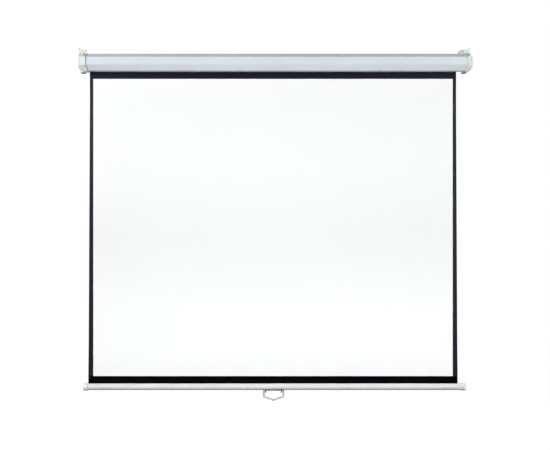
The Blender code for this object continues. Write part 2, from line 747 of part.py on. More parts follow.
def make_left_cap():
    cap = LEFT_CAP
    shell = cap_shell("left_end_cap", cap)
    combine(shell, "DIFFERENCE", [cloth_relief(cap)])
    pad = buffer_seat(cap, BUFFER_LENGTH + 2 * BUFFER_SEAT_MARGIN, CAP_TOP_TAPER)
    combine(shell, "UNION", [hanger_seat(cap), pad])
    socket_end = cap_face(cap, CAP_END_WALL + cap.boss - PIN_SOCKET_DEPTH)
    mouth = cap_face(cap, CAP_END_WALL + cap.boss + CUT_MARGIN)
    socket = rod("pin_socket", IDLE_PIN_RADIUS + SEAT_GAP, socket_end, mouth, y=ROLLER_Y)
    return combine(shell, "DIFFERENCE", [hanger_socket(cap), keyhole(cap), socket, *cap_screw_cuts(cap)])


def make_right_cap():
    cap = RIGHT_CAP
    shell = cap_shell("right_end_cap", cap)
    combine(shell, "DIFFERENCE", [ear_notch()])
    tongue = right_tongue()
    combine(shell, "UNION", [hanger_seat(cap), tongue])
    face = cap_face(cap, CAP_END_WALL + cap.boss)
    half_width = SPADE_WIDTH / 2 + SEAT_GAP
    half_thickness = SPADE_THICKNESS / 2 + SEAT_GAP
    socket = box(
        "spade_socket",
        (face - CUT_MARGIN, ROLLER_Y - half_thickness, -half_width),
        (face + SPADE_LENGTH + SEAT_GAP, ROLLER_Y + half_thickness, half_width),
    )
    return combine(shell, "DIFFERENCE", [hanger_socket(cap), keyhole(cap), socket, *cap_screw_cuts(cap)])


def cap_screw_cuts(cap):
    """Clearance hole and counterbore of each of the cap's screws."""
    cuts = []
    for _, owner, point, outwards in screw_places():
        if owner is cap:
            cuts.append(screw_hole(point, outwards, CAP_STAND + CUT_MARGIN))
            cuts.append(counterbore(point, outwards))
    return cuts


def make_cap_screws():
    for name, _, point, outwards in screw_places():
        screw(name, point - outwards * COUNTERBORE_DEPTH, outwards, CAP_SCREW_LENGTH, BLACK_ZINC)


def make_hanger(name, cap):
    """A folded strap: a leg in the cap's socket with a turned-up tip, a top plate and a front flange."""
    outer, inner = hanger_leg(cap)
    far = outer - cap.side * HANGER_LENGTH
    front, rear = hanger_depths()
    top = CAP_TOP_Z + SEAT_GAP + HANGER_HEIGHT
    leg_x = span(outer, inner)
    plate_x = span(outer, far)
    leg_foot = CAP_TOP_Z - HANGER_SOCKET_DEPTH + SEAT_GAP
    leg = box(name, (leg_x[0], front, leg_foot), (leg_x[1], rear, top + HANGER_TIP), BRACKET_PAINT)
    plate = box("top_plate", (plate_x[0], front, top - HANGER_STRAP), (plate_x[1], rear, top))
    flange = box(
        "front_flange",
        (plate_x[0], front, CAP_TOP_Z + SEAT_GAP),
        (plate_x[1], front + HANGER_STRAP, top),
    )
    bracket = rounded(combine(leg, "UNION", [plate, flange]), HANGER_EDGE_ROUND)
    centre = ((inner + far) / 2, (front + HANGER_STRAP + rear) / 2)
    depth = HANGER_STRAP + CUT_MARGIN
    profile = [(0, -depth), (HANGER_HOLE_RADIUS, -depth), (HANGER_HOLE_RADIUS, CUT_MARGIN), (0, CUT_MARGIN)]
    hole = turned("hanger_hole", profile, None, (*centre, top), (0, 0, 1), steps=SMALL_ROUND_STEPS)
    return combine(bracket, "DIFFERENCE", [hole])


def ear_places():
    """X of the ear's middle, and Y of its front and back."""
    front = CASING_BACK_Y + SEAT_GAP
    return cap_face(RIGHT_CAP, EAR_INSET), front, front + EAR_THICKNESS


def make_wall_ear():
    """A round-headed plate welded to the casing's back, with a hole for a wall screw."""
    x, front, back = ear_places()
    half = EAR_STEM_WIDTH / 2
    shoulder = math.degrees(math.acos(half / EAR_RADIUS))
    outline = arc((x, EAR_HEIGHT), EAR_RADIUS, -shoulder, 180 + shoulder, 20)
    outline += [(x - half, -EAR_FOOT), (x + half, -EAR_FOOT)]
    rings = [[(px, y, pz) for px, pz in outline] for y in (front, back)]
    ear = piece("right_wall_ear", rings_mesh(rings), GREY_ZINC)
    far = EAR_THICKNESS + CUT_MARGIN
    profile = [(0, -CUT_MARGIN), (EAR_HOLE_RADIUS, -CUT_MARGIN), (EAR_HOLE_RADIUS, far), (0, far)]
    hole = turned("ear_hole", profile, None, (x, front, EAR_HEIGHT), (0, 1, 0), steps=SMALL_ROUND_STEPS)
    return combine(ear, "DIFFERENCE", [hole])


def ear_notch():
    """A cutter that makes room for the ear's stem in the right cap's back."""
    x, front, _ = ear_places()
    reach = EAR_STEM_WIDTH / 2 + SEAT_GAP
    low = (x - reach, front - SEAT_GAP, -EAR_FOOT - SEAT_GAP)
    high = (x + reach, CUT_MARGIN, CAP_TOP_Z)
    return box("ear_notch", low, high)


def buffer_depths():
    """Y of a buffer's front and rear."""
    middle = BAR_Y + BUFFER_OFFSET
    return middle - BUFFER_DEPTH / 2, middle + BUFFER_DEPTH / 2


def right_tongue():
    """The strip of the right cap that runs on under the casing and carries the buffer there."""
    cap = RIGHT_CAP
    end = cap.buffer_inset + BUFFER_LENGTH + TONGUE_OVERHANG
    low_x, high_x = span(cap_face(cap, end), cap_face(cap, cap.taper + CAP_WALL))
    front, rear = buffer_depths()
    low = (low_x, front - TONGUE_FRONT_MARGIN, -CAP_TOP_Z)
    high = (high_x, rear + BUFFER_SEAT_MARGIN, CASING_BOTTOM_Z - SEAT_GAP)
    return box("tongue", low, high)


def make_buffer(name, cap):
    """A rubber pad that the bar's end comes up against."""
    low_x, high_x = span(cap_face(cap, cap.buffer_inset), cap_face(cap, cap.buffer_inset + BUFFER_LENGTH))
    front, rear = buffer_depths()
    top = -CAP_TOP_Z - SEAT_GAP
    block = box(name, (low_x, front, top - BUFFER_HEIGHT), (high_x, rear, top), DARK_RUBBER)
    return rounded(block, BUFFER_EDGE_ROUND)


# Roller


def axis_marker(name, place):
    """An empty on a joint's axis, which carries the pieces that move about it."""
    made = bpy.data.objects.new(name, None)
    bpy.context.scene.collection.objects.link(made)
    made.location = place
    return made


def carry(marker, pieces):
    """Parent pieces to a marker without moving them."""
    for made in pieces:
        made.parent = marker
        made.matrix_parent_inverse = Matrix.Translation(marker.location).inverted()


def make_roller_tube():
    return tube("roller_tube", ROLLER_RADIUS, ROLLER_BORE, ROLLER_LEFT, ROLLER_RIGHT, GREY_ZINC, ROLLER_Y, 0)


def make_wraps():
    """The last turns of cloth, which never leave the roller."""
    inner = ROLLER_RADIUS + SEAT_GAP
    return tube("cloth_wraps", WRAP_RADIUS, inner, CLOTH_TOP_LEFT, CLOTH_TOP_RIGHT, CLOTH_BLACK, ROLLER_Y, 0)


def make_idle_end():
    """Fixed pin, and the plug and bush that turn on it."""
    face = cap_face(LEFT_CAP, CAP_END_WALL + LEFT_CAP.boss)
    root = face - PIN_SOCKET_DEPTH + SEAT_GAP
    collar = face + SEAT_GAP
    tip = ROLLER_LEFT + IDLE_SPIGOT
    profile = [
        (0, root),
        (IDLE_PIN_RADIUS, root),
        (IDLE_PIN_RADIUS, collar),
        (IDLE_PIN_COLLAR_RADIUS, collar),
        (IDLE_PIN_COLLAR_RADIUS, collar + IDLE_PIN_COLLAR),
        (IDLE_PIN_RADIUS, collar + IDLE_PIN_COLLAR),
        (IDLE_PIN_RADIUS, tip),
        (0, tip),
    ]
    turned("idle_pin", profile, STEEL, (0, ROLLER_Y, 0), steps=SMALL_ROUND_STEPS)
    bush_bore = IDLE_PIN_RADIUS + RUNNING_GAP
    bush_radius = bush_bore + IDLE_BUSH_WALL
    flange_face = ROLLER_LEFT - SEAT_GAP
    bush = tube("idle_bush", bush_radius, bush_bore, flange_face - PLUG_FLANGE, tip, BRASS, ROLLER_Y, 0)
    plug_bore = bush_radius + SEAT_GAP
    spigot = ROLLER_BORE - SEAT_GAP
    profile = [
        (plug_bore, flange_face - PLUG_FLANGE),
        (PLUG_FLANGE_RADIUS, flange_face - PLUG_FLANGE),
        (PLUG_FLANGE_RADIUS, flange_face),
        (spigot, flange_face),
        (spigot, tip),
        (plug_bore, tip),
    ]
    plug = turned("idle_plug", profile, GREY_NYLON, (0, ROLLER_Y, 0), hollow=True)
    return [bush, plug]


def make_spindle():
    """A fixed shaft whose flat end sits in the right cap, so that it can't turn."""
    face = cap_face(RIGHT_CAP, CAP_END_WALL + RIGHT_CAP.boss)
    collar = face - SEAT_GAP
    start = SPRING_PLUG_LEFT - SPINDLE_OVERHANG
    profile = [
        (0, start),
        (SPINDLE_RADIUS, start),
        (SPINDLE_RADIUS, collar - SPINDLE_COLLAR),
        (SPINDLE_COLLAR_RADIUS, collar - SPINDLE_COLLAR),
        (SPINDLE_COLLAR_RADIUS, collar),
        (0, collar),
    ]
    shaft = turned("spindle", profile, STEEL, (0, ROLLER_Y, 0), steps=SMALL_ROUND_STEPS)
    spade = box(
        "spade",
        (collar - SPINDLE_COLLAR / 2, ROLLER_Y - SPADE_THICKNESS / 2, -SPADE_WIDTH / 2),
        (face + SPADE_LENGTH, ROLLER_Y + SPADE_THICKNESS / 2, SPADE_WIDTH / 2),
    )
    return combine(shaft, "UNION", [spade])


def ratchet_outline():
    """A disc with two notches, each a ramp down to a radial face that stops a pawl's nose."""
    ramp_steps = 8
    rim_steps = 10
    outline = []
    for pivot_angle in (PAWL_PIVOT_ANGLE, PAWL_PIVOT_ANGLE + 180):
        stop = pivot_angle + RATCHET_STOP_ANGLE
        start = stop - RATCHET_RAMP_ANGLE
        for i in range(ramp_steps + 1):
            share = i / ramp_steps
            radius = RATCHET_RADIUS + (RATCHET_FLOOR_RADIUS - RATCHET_RADIUS) * share
            outline += arc((ROLLER_Y, 0), radius, start + RATCHET_RAMP_ANGLE * share, start, 1)[:1]
        outline += arc((ROLLER_Y, 0), RATCHET_RADIUS, stop, start + 180, rim_steps)[:-1]
    return outline


def make_ratchet():
    wheel = extruded("ratchet_wheel", ratchet_outline(), RATCHET_X, RATCHET_X + RATCHET_THICKNESS, STEEL)
    bore = rod(
        "bore", SPINDLE_RADIUS + SEAT_GAP, RATCHET_X - CUT_MARGIN, RATCHET_X + RATCHET_THICKNESS + CUT_MARGIN,
        steps=SMALL_ROUND_STEPS, y=ROLLER_Y,
    )
    return combine(wheel, "DIFFERENCE", [bore])


def make_lock_plug():
    """The roller's right plug, with a cup outside the tube that holds the two pawls."""
    bore = SPINDLE_RADIUS + RUNNING_GAP
    spigot = ROLLER_BORE - SEAT_GAP
    cup = LOCK_CUP_RADIUS - LOCK_CUP_WALL
    profile = [
        (bore, ROLLER_RIGHT - LOCK_SPIGOT),
        (spigot, ROLLER_RIGHT - LOCK_SPIGOT),
        (spigot, LOCK_PLATE_X),
        (LOCK_CUP_RADIUS, LOCK_PLATE_X),
        (LOCK_CUP_RADIUS, LOCK_CUP_X + LOCK_CUP_DEPTH),
        (cup, LOCK_CUP_X + LOCK_CUP_DEPTH),
        (cup, LOCK_CUP_X),
        (bore, LOCK_CUP_X),
    ]
    plug = turned("lock_plug", profile, GREY_NYLON, (0, ROLLER_Y, 0), hollow=True)
    radius = PAWL_PIN_RADIUS + SEAT_GAP
    start, end = pin_root() - SEAT_GAP, LOCK_CUP_X + CUT_MARGIN
    holes = [rod("hole", radius, start, end, steps=PIN_STEPS, y=y, z=z) for _, (y, z) in pawl_pivots()]
    return combine(plug, "DIFFERENCE", holes)


def pin_root():
    """X of the pawl pins' inner ends, inside the lock plug's plate."""
    return LOCK_PLATE_X + LOCK_PLATE / 3


def pawl_pivots():
    """Name and (y, z) of each pawl's pivot."""
    angles = (("upper", PAWL_PIVOT_ANGLE), ("lower", PAWL_PIVOT_ANGLE + 180))
    return [(name, arc((ROLLER_Y, 0), PAWL_PIVOT_RADIUS, angle, angle, 1)[0]) for name, angle in angles]


def make_pawl(which, pivot):
    """A link and its pin. The nose rides just clear of the ratchet and turns inwards into the notch."""
    pivot = Vector(pivot)
    inwards = Vector((ROLLER_Y, 0)) - pivot
    nose_distance = RATCHET_RADIUS + RUNNING_GAP + PAWL_NOSE_RADIUS
    cosine = (PAWL_PIVOT_RADIUS**2 + PAWL_REACH**2 - nose_distance**2) / (2 * PAWL_PIVOT_RADIUS * PAWL_REACH)
    swing = Matrix.Rotation(-math.acos(cosine), 2)
    nose = pivot + swing @ inwards.normalized() * PAWL_REACH
    outline = link_outline(pivot, nose, PAWL_HEEL_RADIUS, PAWL_NOSE_RADIUS)
    pawl = extruded(f"{which}_pawl", outline, RATCHET_X, RATCHET_X + RATCHET_THICKNESS, STEEL)
    bore = rod(
        "bore", PAWL_PIN_RADIUS + RUNNING_GAP,
        RATCHET_X - CUT_MARGIN, RATCHET_X + RATCHET_THICKNESS + CUT_MARGIN,
        steps=PIN_STEPS, y=pivot.x, z=pivot.y,
    )
    combine(pawl, "DIFFERENCE", [bore])
    head = RATCHET_X + RATCHET_THICKNESS + RUNNING_GAP
    profile = [
        (0, pin_root()),
        (PAWL_PIN_RADIUS, pin_root()),
        (PAWL_PIN_RADIUS, head),
        (PAWL_PIN_HEAD_RADIUS, head),
        (PAWL_PIN_HEAD_RADIUS, head + PAWL_PIN_HEAD),
        (0, head + PAWL_PIN_HEAD),
    ]
    pin = turned(f"{which}_pawl_pin", profile, STEEL, (0, *pivot), steps=PIN_STEPS)
    return pawl, pin


def spring_path(start, end):
    """A helix about the roller's axis, bent at both ends into a short leg along the axis."""
    turns = SPRING_LOOPS * SPRING_LOOP_POINTS
    run = SPRING_BEND + SPRING_LEG
    first, last = start + run, end - run
    middle = []
    for i in range(turns + 1):
        angle = 2 * math.pi * i / SPRING_LOOP_POINTS
        x = first + (last - first) * i / turns
        y = ROLLER_Y + SPRING_RADIUS * math.cos(angle)
        middle.append(Vector((x, y, SPRING_RADIUS * math.sin(angle))))

    def end_leg(tip, before, outwards):
        way = tip - before
        way.x = 0
        way.normalize()
        leg = []
        for i in range(1, SPRING_BEND_STEPS + 1):
            angle = math.pi / 2 * i / SPRING_BEND_STEPS
            leg.append(tip + SPRING_BEND * (math.sin(angle) * way + (1 - math.cos(angle)) * outwards))
        leg.append(leg[-1] + outwards * SPRING_LEG)
        return leg

    along = Vector((1, 0, 0))
    head = end_leg(middle[0], middle[1], -along)[::-1]
    tail = end_leg(middle[-1], middle[-2], along)
    return head + middle + tail


def least_self_gap(path, thickness, skip):
    """The least gap between turns that are more than skip points apart on the path."""
    least = min((a - b).length for i, a in enumerate(path) for b in path[i + skip :])
    return least - thickness


def make_spring():
    """Torsion spring round the spindle, from the fixed collar to the plug that turns with the roller."""
    collar_left = SPRING_COLLAR_RIGHT - SPRING_COLLAR_LENGTH
    bore = SPINDLE_RADIUS + SEAT_GAP
    tube("spring_collar", SPRING_COLLAR_RADIUS, bore, collar_left, SPRING_COLLAR_RIGHT, STEEL, ROLLER_Y, 0)
    path = spring_path(SPRING_LEFT, SPRING_RIGHT)
    gap = least_self_gap(path, SPRING_WIRE, SPRING_LOOP_POINTS // 2)
    print(f"torsion spring: least gap between turns {gap * 1000:.2f} mm")
    spring = swept("torsion_spring", path, SPRING_WIRE / 2, SPRING_WIRE_SIDES, SPRING_STEEL)
    plug = tube(
        "spring_plug", ROLLER_BORE - SEAT_GAP, SPINDLE_RADIUS + RUNNING_GAP,
        SPRING_PLUG_LEFT, SPRING_PLUG_RIGHT, GREY_NYLON, ROLLER_Y, 0,
    )
    return [spring, plug]


# Cloth and bottom bar


def sheet(name, corners, front, thickness, finish):
    """A flat sheet through four (x, z) corners."""
    rings = [[(x, y, z) for x, z in corners] for y in (front, front + thickness)]
    return piece(name, rings_mesh(rings), finish)


def make_cloth():
    """Black backing, which shows as the borders, with the white field in front of it."""
    corners = [
        (CLOTH_TOP_LEFT, 0.0),
        (CLOTH_TOP_RIGHT, 0.0),
        (CLOTH_FOOT_RIGHT, FIELD_BOTTOM_Z),
        (CLOTH_FOOT_LEFT, FIELD_BOTTOM_Z),
    ]
    sheet("cloth_backing", corners, CLOTH_FRONT_Y, BACKING_THICKNESS, CLOTH_BLACK)
    left, right = CLOTH_MIDDLE - FIELD_WIDTH / 2, CLOTH_MIDDLE + FIELD_WIDTH / 2
    corners = [(left, FIELD_TOP_Z), (right, FIELD_TOP_Z), (right, FIELD_BOTTOM_Z), (left, FIELD_BOTTOM_Z)]
    front = CLOTH_FRONT_Y - SEAT_GAP - FIELD_THICKNESS
    sheet("cloth_field", corners, front, FIELD_THICKNESS, CLOTH_WHITE)


def make_hem():
    """The cloth's foot, which goes down into the bar and round the hem rod."""
    top = FIELD_BOTTOM_Z - SEAT_GAP
    lean = math.degrees(math.asin(BACKING_THICKNESS / 2 / HEM_RADIUS))
    outline = [(CLOTH_BACK_Y, top), (CLOTH_FRONT_Y, top)]
    outline += arc((BAR_Y, HEM_ROD_Z), HEM_RADIUS, 90 + lean, 450 - lean, SMALL_ROUND_STEPS)
    hem = extruded("cloth_hem", outline, CLOTH_FOOT_LEFT, CLOTH_FOOT_RIGHT, CLOTH_BLACK)
    tunnel = rod(
        "tunnel", HEM_ROD_RADIUS + SEAT_GAP, CLOTH_FOOT_LEFT - CUT_MARGIN, CLOTH_FOOT_RIGHT + CUT_MARGIN,
        steps=SMALL_ROUND_STEPS, y=BAR_Y, z=HEM_ROD_Z,
    )
    combine(hem, "DIFFERENCE", [tunnel])
    start, end = CLOTH_FOOT_LEFT - HEM_ROD_OVERHANG, CLOTH_FOOT_RIGHT + HEM_ROD_OVERHANG
    hem_rod = rod("hem_rod", HEM_ROD_RADIUS, start, end, STEEL, SMALL_ROUND_STEPS, BAR_Y, HEM_ROD_Z)
    return [hem, hem_rod]


def make_bar():
    """A tube with a slot along its top for the cloth, and a cap at each end."""
    bore = BAR_RADIUS - BAR_WALL
    outer_half = math.degrees(math.asin(BAR_SLOT / 2 / BAR_RADIUS))
    inner_half = math.degrees(math.asin(BAR_SLOT / 2 / bore))
    outline = arc((BAR_Y, BAR_Z), BAR_RADIUS, 90 + outer_half, 450 - outer_half, ROUND_STEPS)
    outline += arc((BAR_Y, BAR_Z), bore, 450 - inner_half, 90 + inner_half, ROUND_STEPS)
    left = BAR_LEFT + BAR_CAP_END + SEAT_GAP
    right = BAR_RIGHT - BAR_CAP_END - SEAT_GAP
    bar = extruded("bottom_bar", outline, left, right, WHITE_PAINT)
    holes = [screw_hole(seat, (0, 0, -1), HANDLE_SCREW_LENGTH) for _, seat in handle_screw_places()]
    combine(bar, "DIFFERENCE", holes)
    left_cap = make_bar_cap("left_bar_cap", BAR_LEFT, 1, LEFT_BAR_CAP_LENGTH)
    right_cap = make_bar_cap("right_bar_cap", BAR_RIGHT, -1, RIGHT_BAR_CAP_LENGTH)
    return [bar, left_cap, right_cap]


def make_bar_cap(name, end, inwards, length):
    """A cup over the bar's end, its outer edge rounded."""
    sleeve = BAR_RADIUS + SEAT_GAP
    corner = arc((BAR_CAP_RADIUS - BAR_CAP_ROUND, BAR_CAP_ROUND), BAR_CAP_ROUND, -90, 0, 4)
    outside = [(0, 0), *corner, (BAR_CAP_RADIUS, length)]
    inside = [(sleeve, length), (sleeve, BAR_CAP_END), (0, BAR_CAP_END)]
    return turned(name, outside + inside, WHITE_MOULDING, (end, BAR_Y, BAR_Z), (inwards, 0, 0))


# Handle


def handle_screw_places():
    """Name and place, on the underside of the handle base, of each handle screw."""
    places = []
    for name, way in (("left", -1), ("right", 1)):
        x = HANDLE_MIDDLE + way * HANDLE_SCREW_SPACING / 2
        places.append((f"{name}_handle_screw", (x, BAR_Y, HANDLE_BASE_BOTTOM_Z)))
    return places


def make_handle_base():
    """A saddle under the bar with a tab at each end for the handle's pivots."""
    inner = BAR_RADIUS + SEAT_GAP
    outer = inner + HANDLE_BASE_THICKNESS
    start, end = 270 - HANDLE_BASE_ANGLE / 2, 270 + HANDLE_BASE_ANGLE / 2
    outline = arc((BAR_Y, BAR_Z), outer, start, end, 16) + arc((BAR_Y, BAR_Z), inner, end, start, 16)
    low, high = HANDLE_MIDDLE - HANDLE_BASE_LENGTH / 2, HANDLE_MIDDLE + HANDLE_BASE_LENGTH / 2
    base = extruded("handle_base", outline, low, high, WHITE_MOULDING)
    rounded(base, HANDLE_BASE_ROUND, angle=50)
    tab_top = BAR_Z - inner - HANDLE_BASE_THICKNESS / 2
    tab = arc((BAR_Y, HANDLE_PIVOT_Z), EAR_TAB_RADIUS, 180, 360, 10)
    tab += [(BAR_Y + EAR_TAB_RADIUS, tab_top), (BAR_Y - EAR_TAB_RADIUS, tab_top)]
    for end in (low + EAR_TAB_INSET, high - EAR_TAB_INSET - EAR_TAB_THICKNESS):
        combine(base, "UNION", [extruded("tab", tab, end, end + EAR_TAB_THICKNESS)])
    pivot_hole = rod(
        "pivot_hole", PIVOT_STUB_RADIUS + RUNNING_GAP, low - CUT_MARGIN, high + CUT_MARGIN,
        steps=SMALL_ROUND_STEPS, y=BAR_Y, z=HANDLE_PIVOT_Z,
    )
    depth = HANDLE_BASE_THICKNESS + CUT_MARGIN
    screw_holes = [screw_hole(seat, (0, 0, -1), depth) for _, seat in handle_screw_places()]
    return combine(base, "DIFFERENCE", [pivot_hole, *screw_holes])


def make_handle_screws():
    return [screw(name, seat, (0, 0, -1), HANDLE_SCREW_LENGTH, STEEL) for name, seat in handle_screw_places()]


def make_bail():
    """The pull handle: it hangs from the base by two stubs and comes to a blunt point."""
    left_half = [
        (-BAIL_HALF_WIDTH, 0.0),
        (-BAIL_HALF_WIDTH, -BAIL_SIDE_DROP),
        (-BAIL_SHOULDER_HALF_WIDTH, -BAIL_SHOULDER_DROP),
    ]
    right_half = [(-x, z) for x, z in left_half[::-1]]
    path = rounded_path([*left_half, (0.0, -BAIL_POINT_DROP), *right_half], BAIL_BEND)
    points = [(HANDLE_MIDDLE + x, BAR_Y, HANDLE_PIVOT_Z + z) for x, z in path]
    bail = swept("handle_bail", points, BAIL_RADIUS, BAIL_SIDES, WHITE_MOULDING)
    stub_tip = HANDLE_BASE_LENGTH / 2 - EAR_TAB_INSET - EAR_TAB_THICKNESS
    for way in (-1, 1):
        centre = HANDLE_MIDDLE + way * BAIL_HALF_WIDTH
        eye = rod(
            "eye", BAIL_EYE_RADIUS, centre - BAIL_RADIUS, centre + BAIL_RADIUS,
            steps=SMALL_ROUND_STEPS, y=BAR_Y, z=HANDLE_PIVOT_Z,
        )
        low, high = span(centre, HANDLE_MIDDLE + way * stub_tip)
        stub = rod(
            "stub", PIVOT_STUB_RADIUS, low, high, steps=SMALL_ROUND_STEPS, y=BAR_Y, z=HANDLE_PIVOT_Z
        )
        combine(bail, "UNION", [eye, stub])
    return bail


def build():
    clear_scene()
    make_casing()
    make_left_cap()
    make_right_cap()
    make_cap_screws()
    make_hanger("left_hanger_bracket", LEFT_CAP)
    make_hanger("right_hanger_bracket", RIGHT_CAP)
    make_wall_ear()
    make_buffer("left_buffer", LEFT_CAP)
    make_buffer("right_buffer", RIGHT_CAP)
    make_spindle()
    make_ratchet()

    roller = axis_marker("roller_axis", (0, ROLLER_Y, 0))
    carry(roller, [make_roller_tube(), make_wraps(), make_lock_plug(), *make_idle_end(), *make_spring()])
    for which, (y, z) in pawl_pivots():
        pawl, pin = make_pawl(which, (y, z))
        carry(roller, [pin])
        pivot = axis_marker(f"{which}_pawl_axis", (RATCHET_X, y, z))
        carry(pivot, [pawl])

    make_cloth()
    slide = axis_marker("bar_travel", (BAR_MIDDLE, BAR_Y, BAR_Z))
    carry(slide, [*make_bar(), *make_hem(), make_handle_base(), *make_handle_screws()])
    swing = axis_marker("handle_axis", (HANDLE_MIDDLE, BAR_Y, HANDLE_PIVOT_Z))
    carry(swing, [make_bail()])


build()
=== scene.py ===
"""The looks of a pull-down projection screen: its cloth, every surface finish, the studio and the camera."""
import math

import bmesh
import bpy
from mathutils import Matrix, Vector, noise


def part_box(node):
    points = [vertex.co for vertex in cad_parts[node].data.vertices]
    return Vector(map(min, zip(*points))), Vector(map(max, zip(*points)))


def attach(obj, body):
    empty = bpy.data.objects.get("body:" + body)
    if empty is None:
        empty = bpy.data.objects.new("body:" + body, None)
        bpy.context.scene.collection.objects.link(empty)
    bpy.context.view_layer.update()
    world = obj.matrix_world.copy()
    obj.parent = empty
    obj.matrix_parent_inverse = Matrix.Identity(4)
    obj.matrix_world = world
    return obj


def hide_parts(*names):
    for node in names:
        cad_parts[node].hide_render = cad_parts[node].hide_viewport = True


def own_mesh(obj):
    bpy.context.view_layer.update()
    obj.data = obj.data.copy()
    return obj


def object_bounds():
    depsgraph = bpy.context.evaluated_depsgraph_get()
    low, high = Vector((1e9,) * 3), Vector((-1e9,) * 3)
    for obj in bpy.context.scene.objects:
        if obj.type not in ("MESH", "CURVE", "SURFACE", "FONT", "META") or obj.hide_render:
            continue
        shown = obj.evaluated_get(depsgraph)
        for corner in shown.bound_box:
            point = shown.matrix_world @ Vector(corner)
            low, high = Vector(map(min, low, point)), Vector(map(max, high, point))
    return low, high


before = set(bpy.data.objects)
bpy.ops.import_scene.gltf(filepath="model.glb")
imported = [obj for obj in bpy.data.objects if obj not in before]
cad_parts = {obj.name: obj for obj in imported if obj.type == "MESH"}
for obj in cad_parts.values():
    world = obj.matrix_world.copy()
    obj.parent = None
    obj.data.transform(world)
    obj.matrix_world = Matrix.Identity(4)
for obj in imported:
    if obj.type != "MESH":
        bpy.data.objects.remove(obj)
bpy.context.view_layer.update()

MM = 0.001

# Hanging cloth, which strays only backward from its plane, clear of the roller
CLOTH_COLUMNS = 96
CLOTH_ROWS = 120
CLOTH_THICKNESS = 0.4 * MM
RIPPLE_DEPTH = 1.6 * MM
RIPPLE_LENGTH = 420 * MM  # from side to side
RIPPLE_STRETCH = 2.2  # height of the ripples over their length
RIPPLE_PATTERN = 3.7  # picks one pattern of the noise
EDGE_CURL_DEPTH = 1.6 * MM
EDGE_CURL_WIDTH = 22 * MM
FREE_BELOW_CASING = 120 * MM  # over this height the cloth goes from straight to rippled
FREE_ABOVE_FOOT = 160 * MM
CLOTH_SHINE = 0.31

# Weave, drawn coarser than the real one, so that it shows
THREAD_SPACING_MM = 1.0
THREAD_DEPTH = 0.02 * MM

# Hem
HEM_GAP = 0.05 * MM  # under the cloth's foot, so that neither cuts the other when rolled up
HEM_THICKNESS = 0.35 * MM
HEM_COLUMNS = 60
HEM_ARC_STEPS = 20
HEM_ARC_START = 80  # degrees, round the hem rod
HEM_ARC = 320
SEAM_HEIGHT = 9 * MM  # of the welded seam above the bar
SEAM_GAP = 5 * MM

# Last turn on the roller
WRAP_COLUMNS = 60
WRAP_STEPS = 48
WRAP_THICKNESS = 0.2 * MM
WRAP_PITCH = 1.2  # thicknesses from the turn's outer end to its inner end

# Painted shade
PAINTED_SHADOW_WIDTH = 5 * MM  # of the painted shadow beside the left end cap
BELLY_HEIGHT = 9 * MM  # how far painted shade reaches up the bar from its underside
SINK_RADIUS = 6 * MM  # how far painted shade reaches round the caps' front screws

# Smooth shading
MERGE_DISTANCE = 0.002 * MM
ROUND_BELOW = math.radians(37)  # facets of the frame that meet at less than this are one surface
CLOTH_SHARP_ABOVE = math.radians(40)
ROUND_PIECES = [
    "bottom_bar", "left_bar_cap", "right_bar_cap", "handle_bail", "handle_base", "left_handle_screw",
    "right_handle_screw", "left_cap_front_screw", "left_cap_top_screw", "right_cap_front_screw",
    "right_cap_top_screw", "roller_tube", "hem_rod", "spindle", "idle_pin", "idle_plug", "idle_bush",
    "lock_plug", "spring_plug", "spring_collar", "torsion_spring", "upper_pawl_pin", "lower_pawl_pin",
    "ratchet_wheel", "upper_pawl", "lower_pawl", "right_wall_ear",
]

# The photograph's camera
CAMERA_PLACE = Vector((-1.6, -2274.5, -670.85)) * MM
SENSOR_WIDTH = 36.0  # millimetres
IMAGE_WIDTH = 550  # pixels
FOCAL_PIXELS = 539.4

# Studio
SCREEN_MIDDLE = Vector((0.0, 0.0, -0.65))
SCREEN_FOOT = Vector((0.0, 0.0, -1.3))
ROOM_LIGHT = 0.04
FLOOR_DROP = 0.80  # of the floor below the screen's lowest point
FLOOR_SIZE = 9.0
FLOOR_GLOW = 1.17
GLOW_SHARE = 0.85  # of the floor as the camera sees it; the rest is matt and takes shadow

# A Mix node's sockets have the same names for every kind of value, so they are told apart by number.
MIX_SHARE = 0
FIRST_NUMBER, SECOND_NUMBER, MIXED_NUMBER = 2, 3, 0
FIRST_COLOUR, SECOND_COLOUR, MIXED_COLOUR = 6, 7, 2


def linear(code):
    """An sRGB hex colour as the linear values that a shader takes."""
    channels = [int(code[i : i + 2], 16) / 255 for i in (1, 3, 5)]
    return [c / 12.92 if c <= 0.04045 else ((c + 0.055) / 1.055) ** 2.4 for c in channels] + [1.0]


def add(tree, kind, inputs=None, **settings):
    """Add a node. Each input is a plain value, or another node's output to link."""
    made = tree.nodes.new(kind)
    for name, value in settings.items():
        setattr(made, name, value)
    for socket, value in (inputs or {}).items():
        if isinstance(value, bpy.types.NodeSocket):
            tree.links.new(value, made.inputs[socket])
        else:
            made.inputs[socket].default_value = value
    return made


def start_material(name, **values):
    """A new material, its node tree and its shader, with the shader's own values set."""
    made = bpy.data.materials.new(name)
    made.use_nodes = True
    shader = made.node_tree.nodes["Principled BSDF"]
    for socket, value in values.items():
        shader.inputs[socket.replace("_", " ")].default_value = value
    return made, made.node_tree, shader


def per_metre(size_mm):
    """A noise's scale for features of this size in millimetres."""
    return 1 / (size_mm * MM)


def middle_of(name):
    """The middle of a node's box."""
    low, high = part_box(name)
    return (low + high) / 2


# Steps of a finish that several materials share


def blend_in(tree, share, colour, other):
    """A colour blended towards another by the given share. Each is a hex colour or a colour's socket."""
    first, second = [linear(given) if isinstance(given, str) else given for given in (colour, other)]
    sockets = {MIX_SHARE: share, FIRST_COLOUR: first, SECOND_COLOUR: second}
    return add(tree, "ShaderNodeMix", sockets, data_type="RGBA").outputs[MIXED_COLOUR]


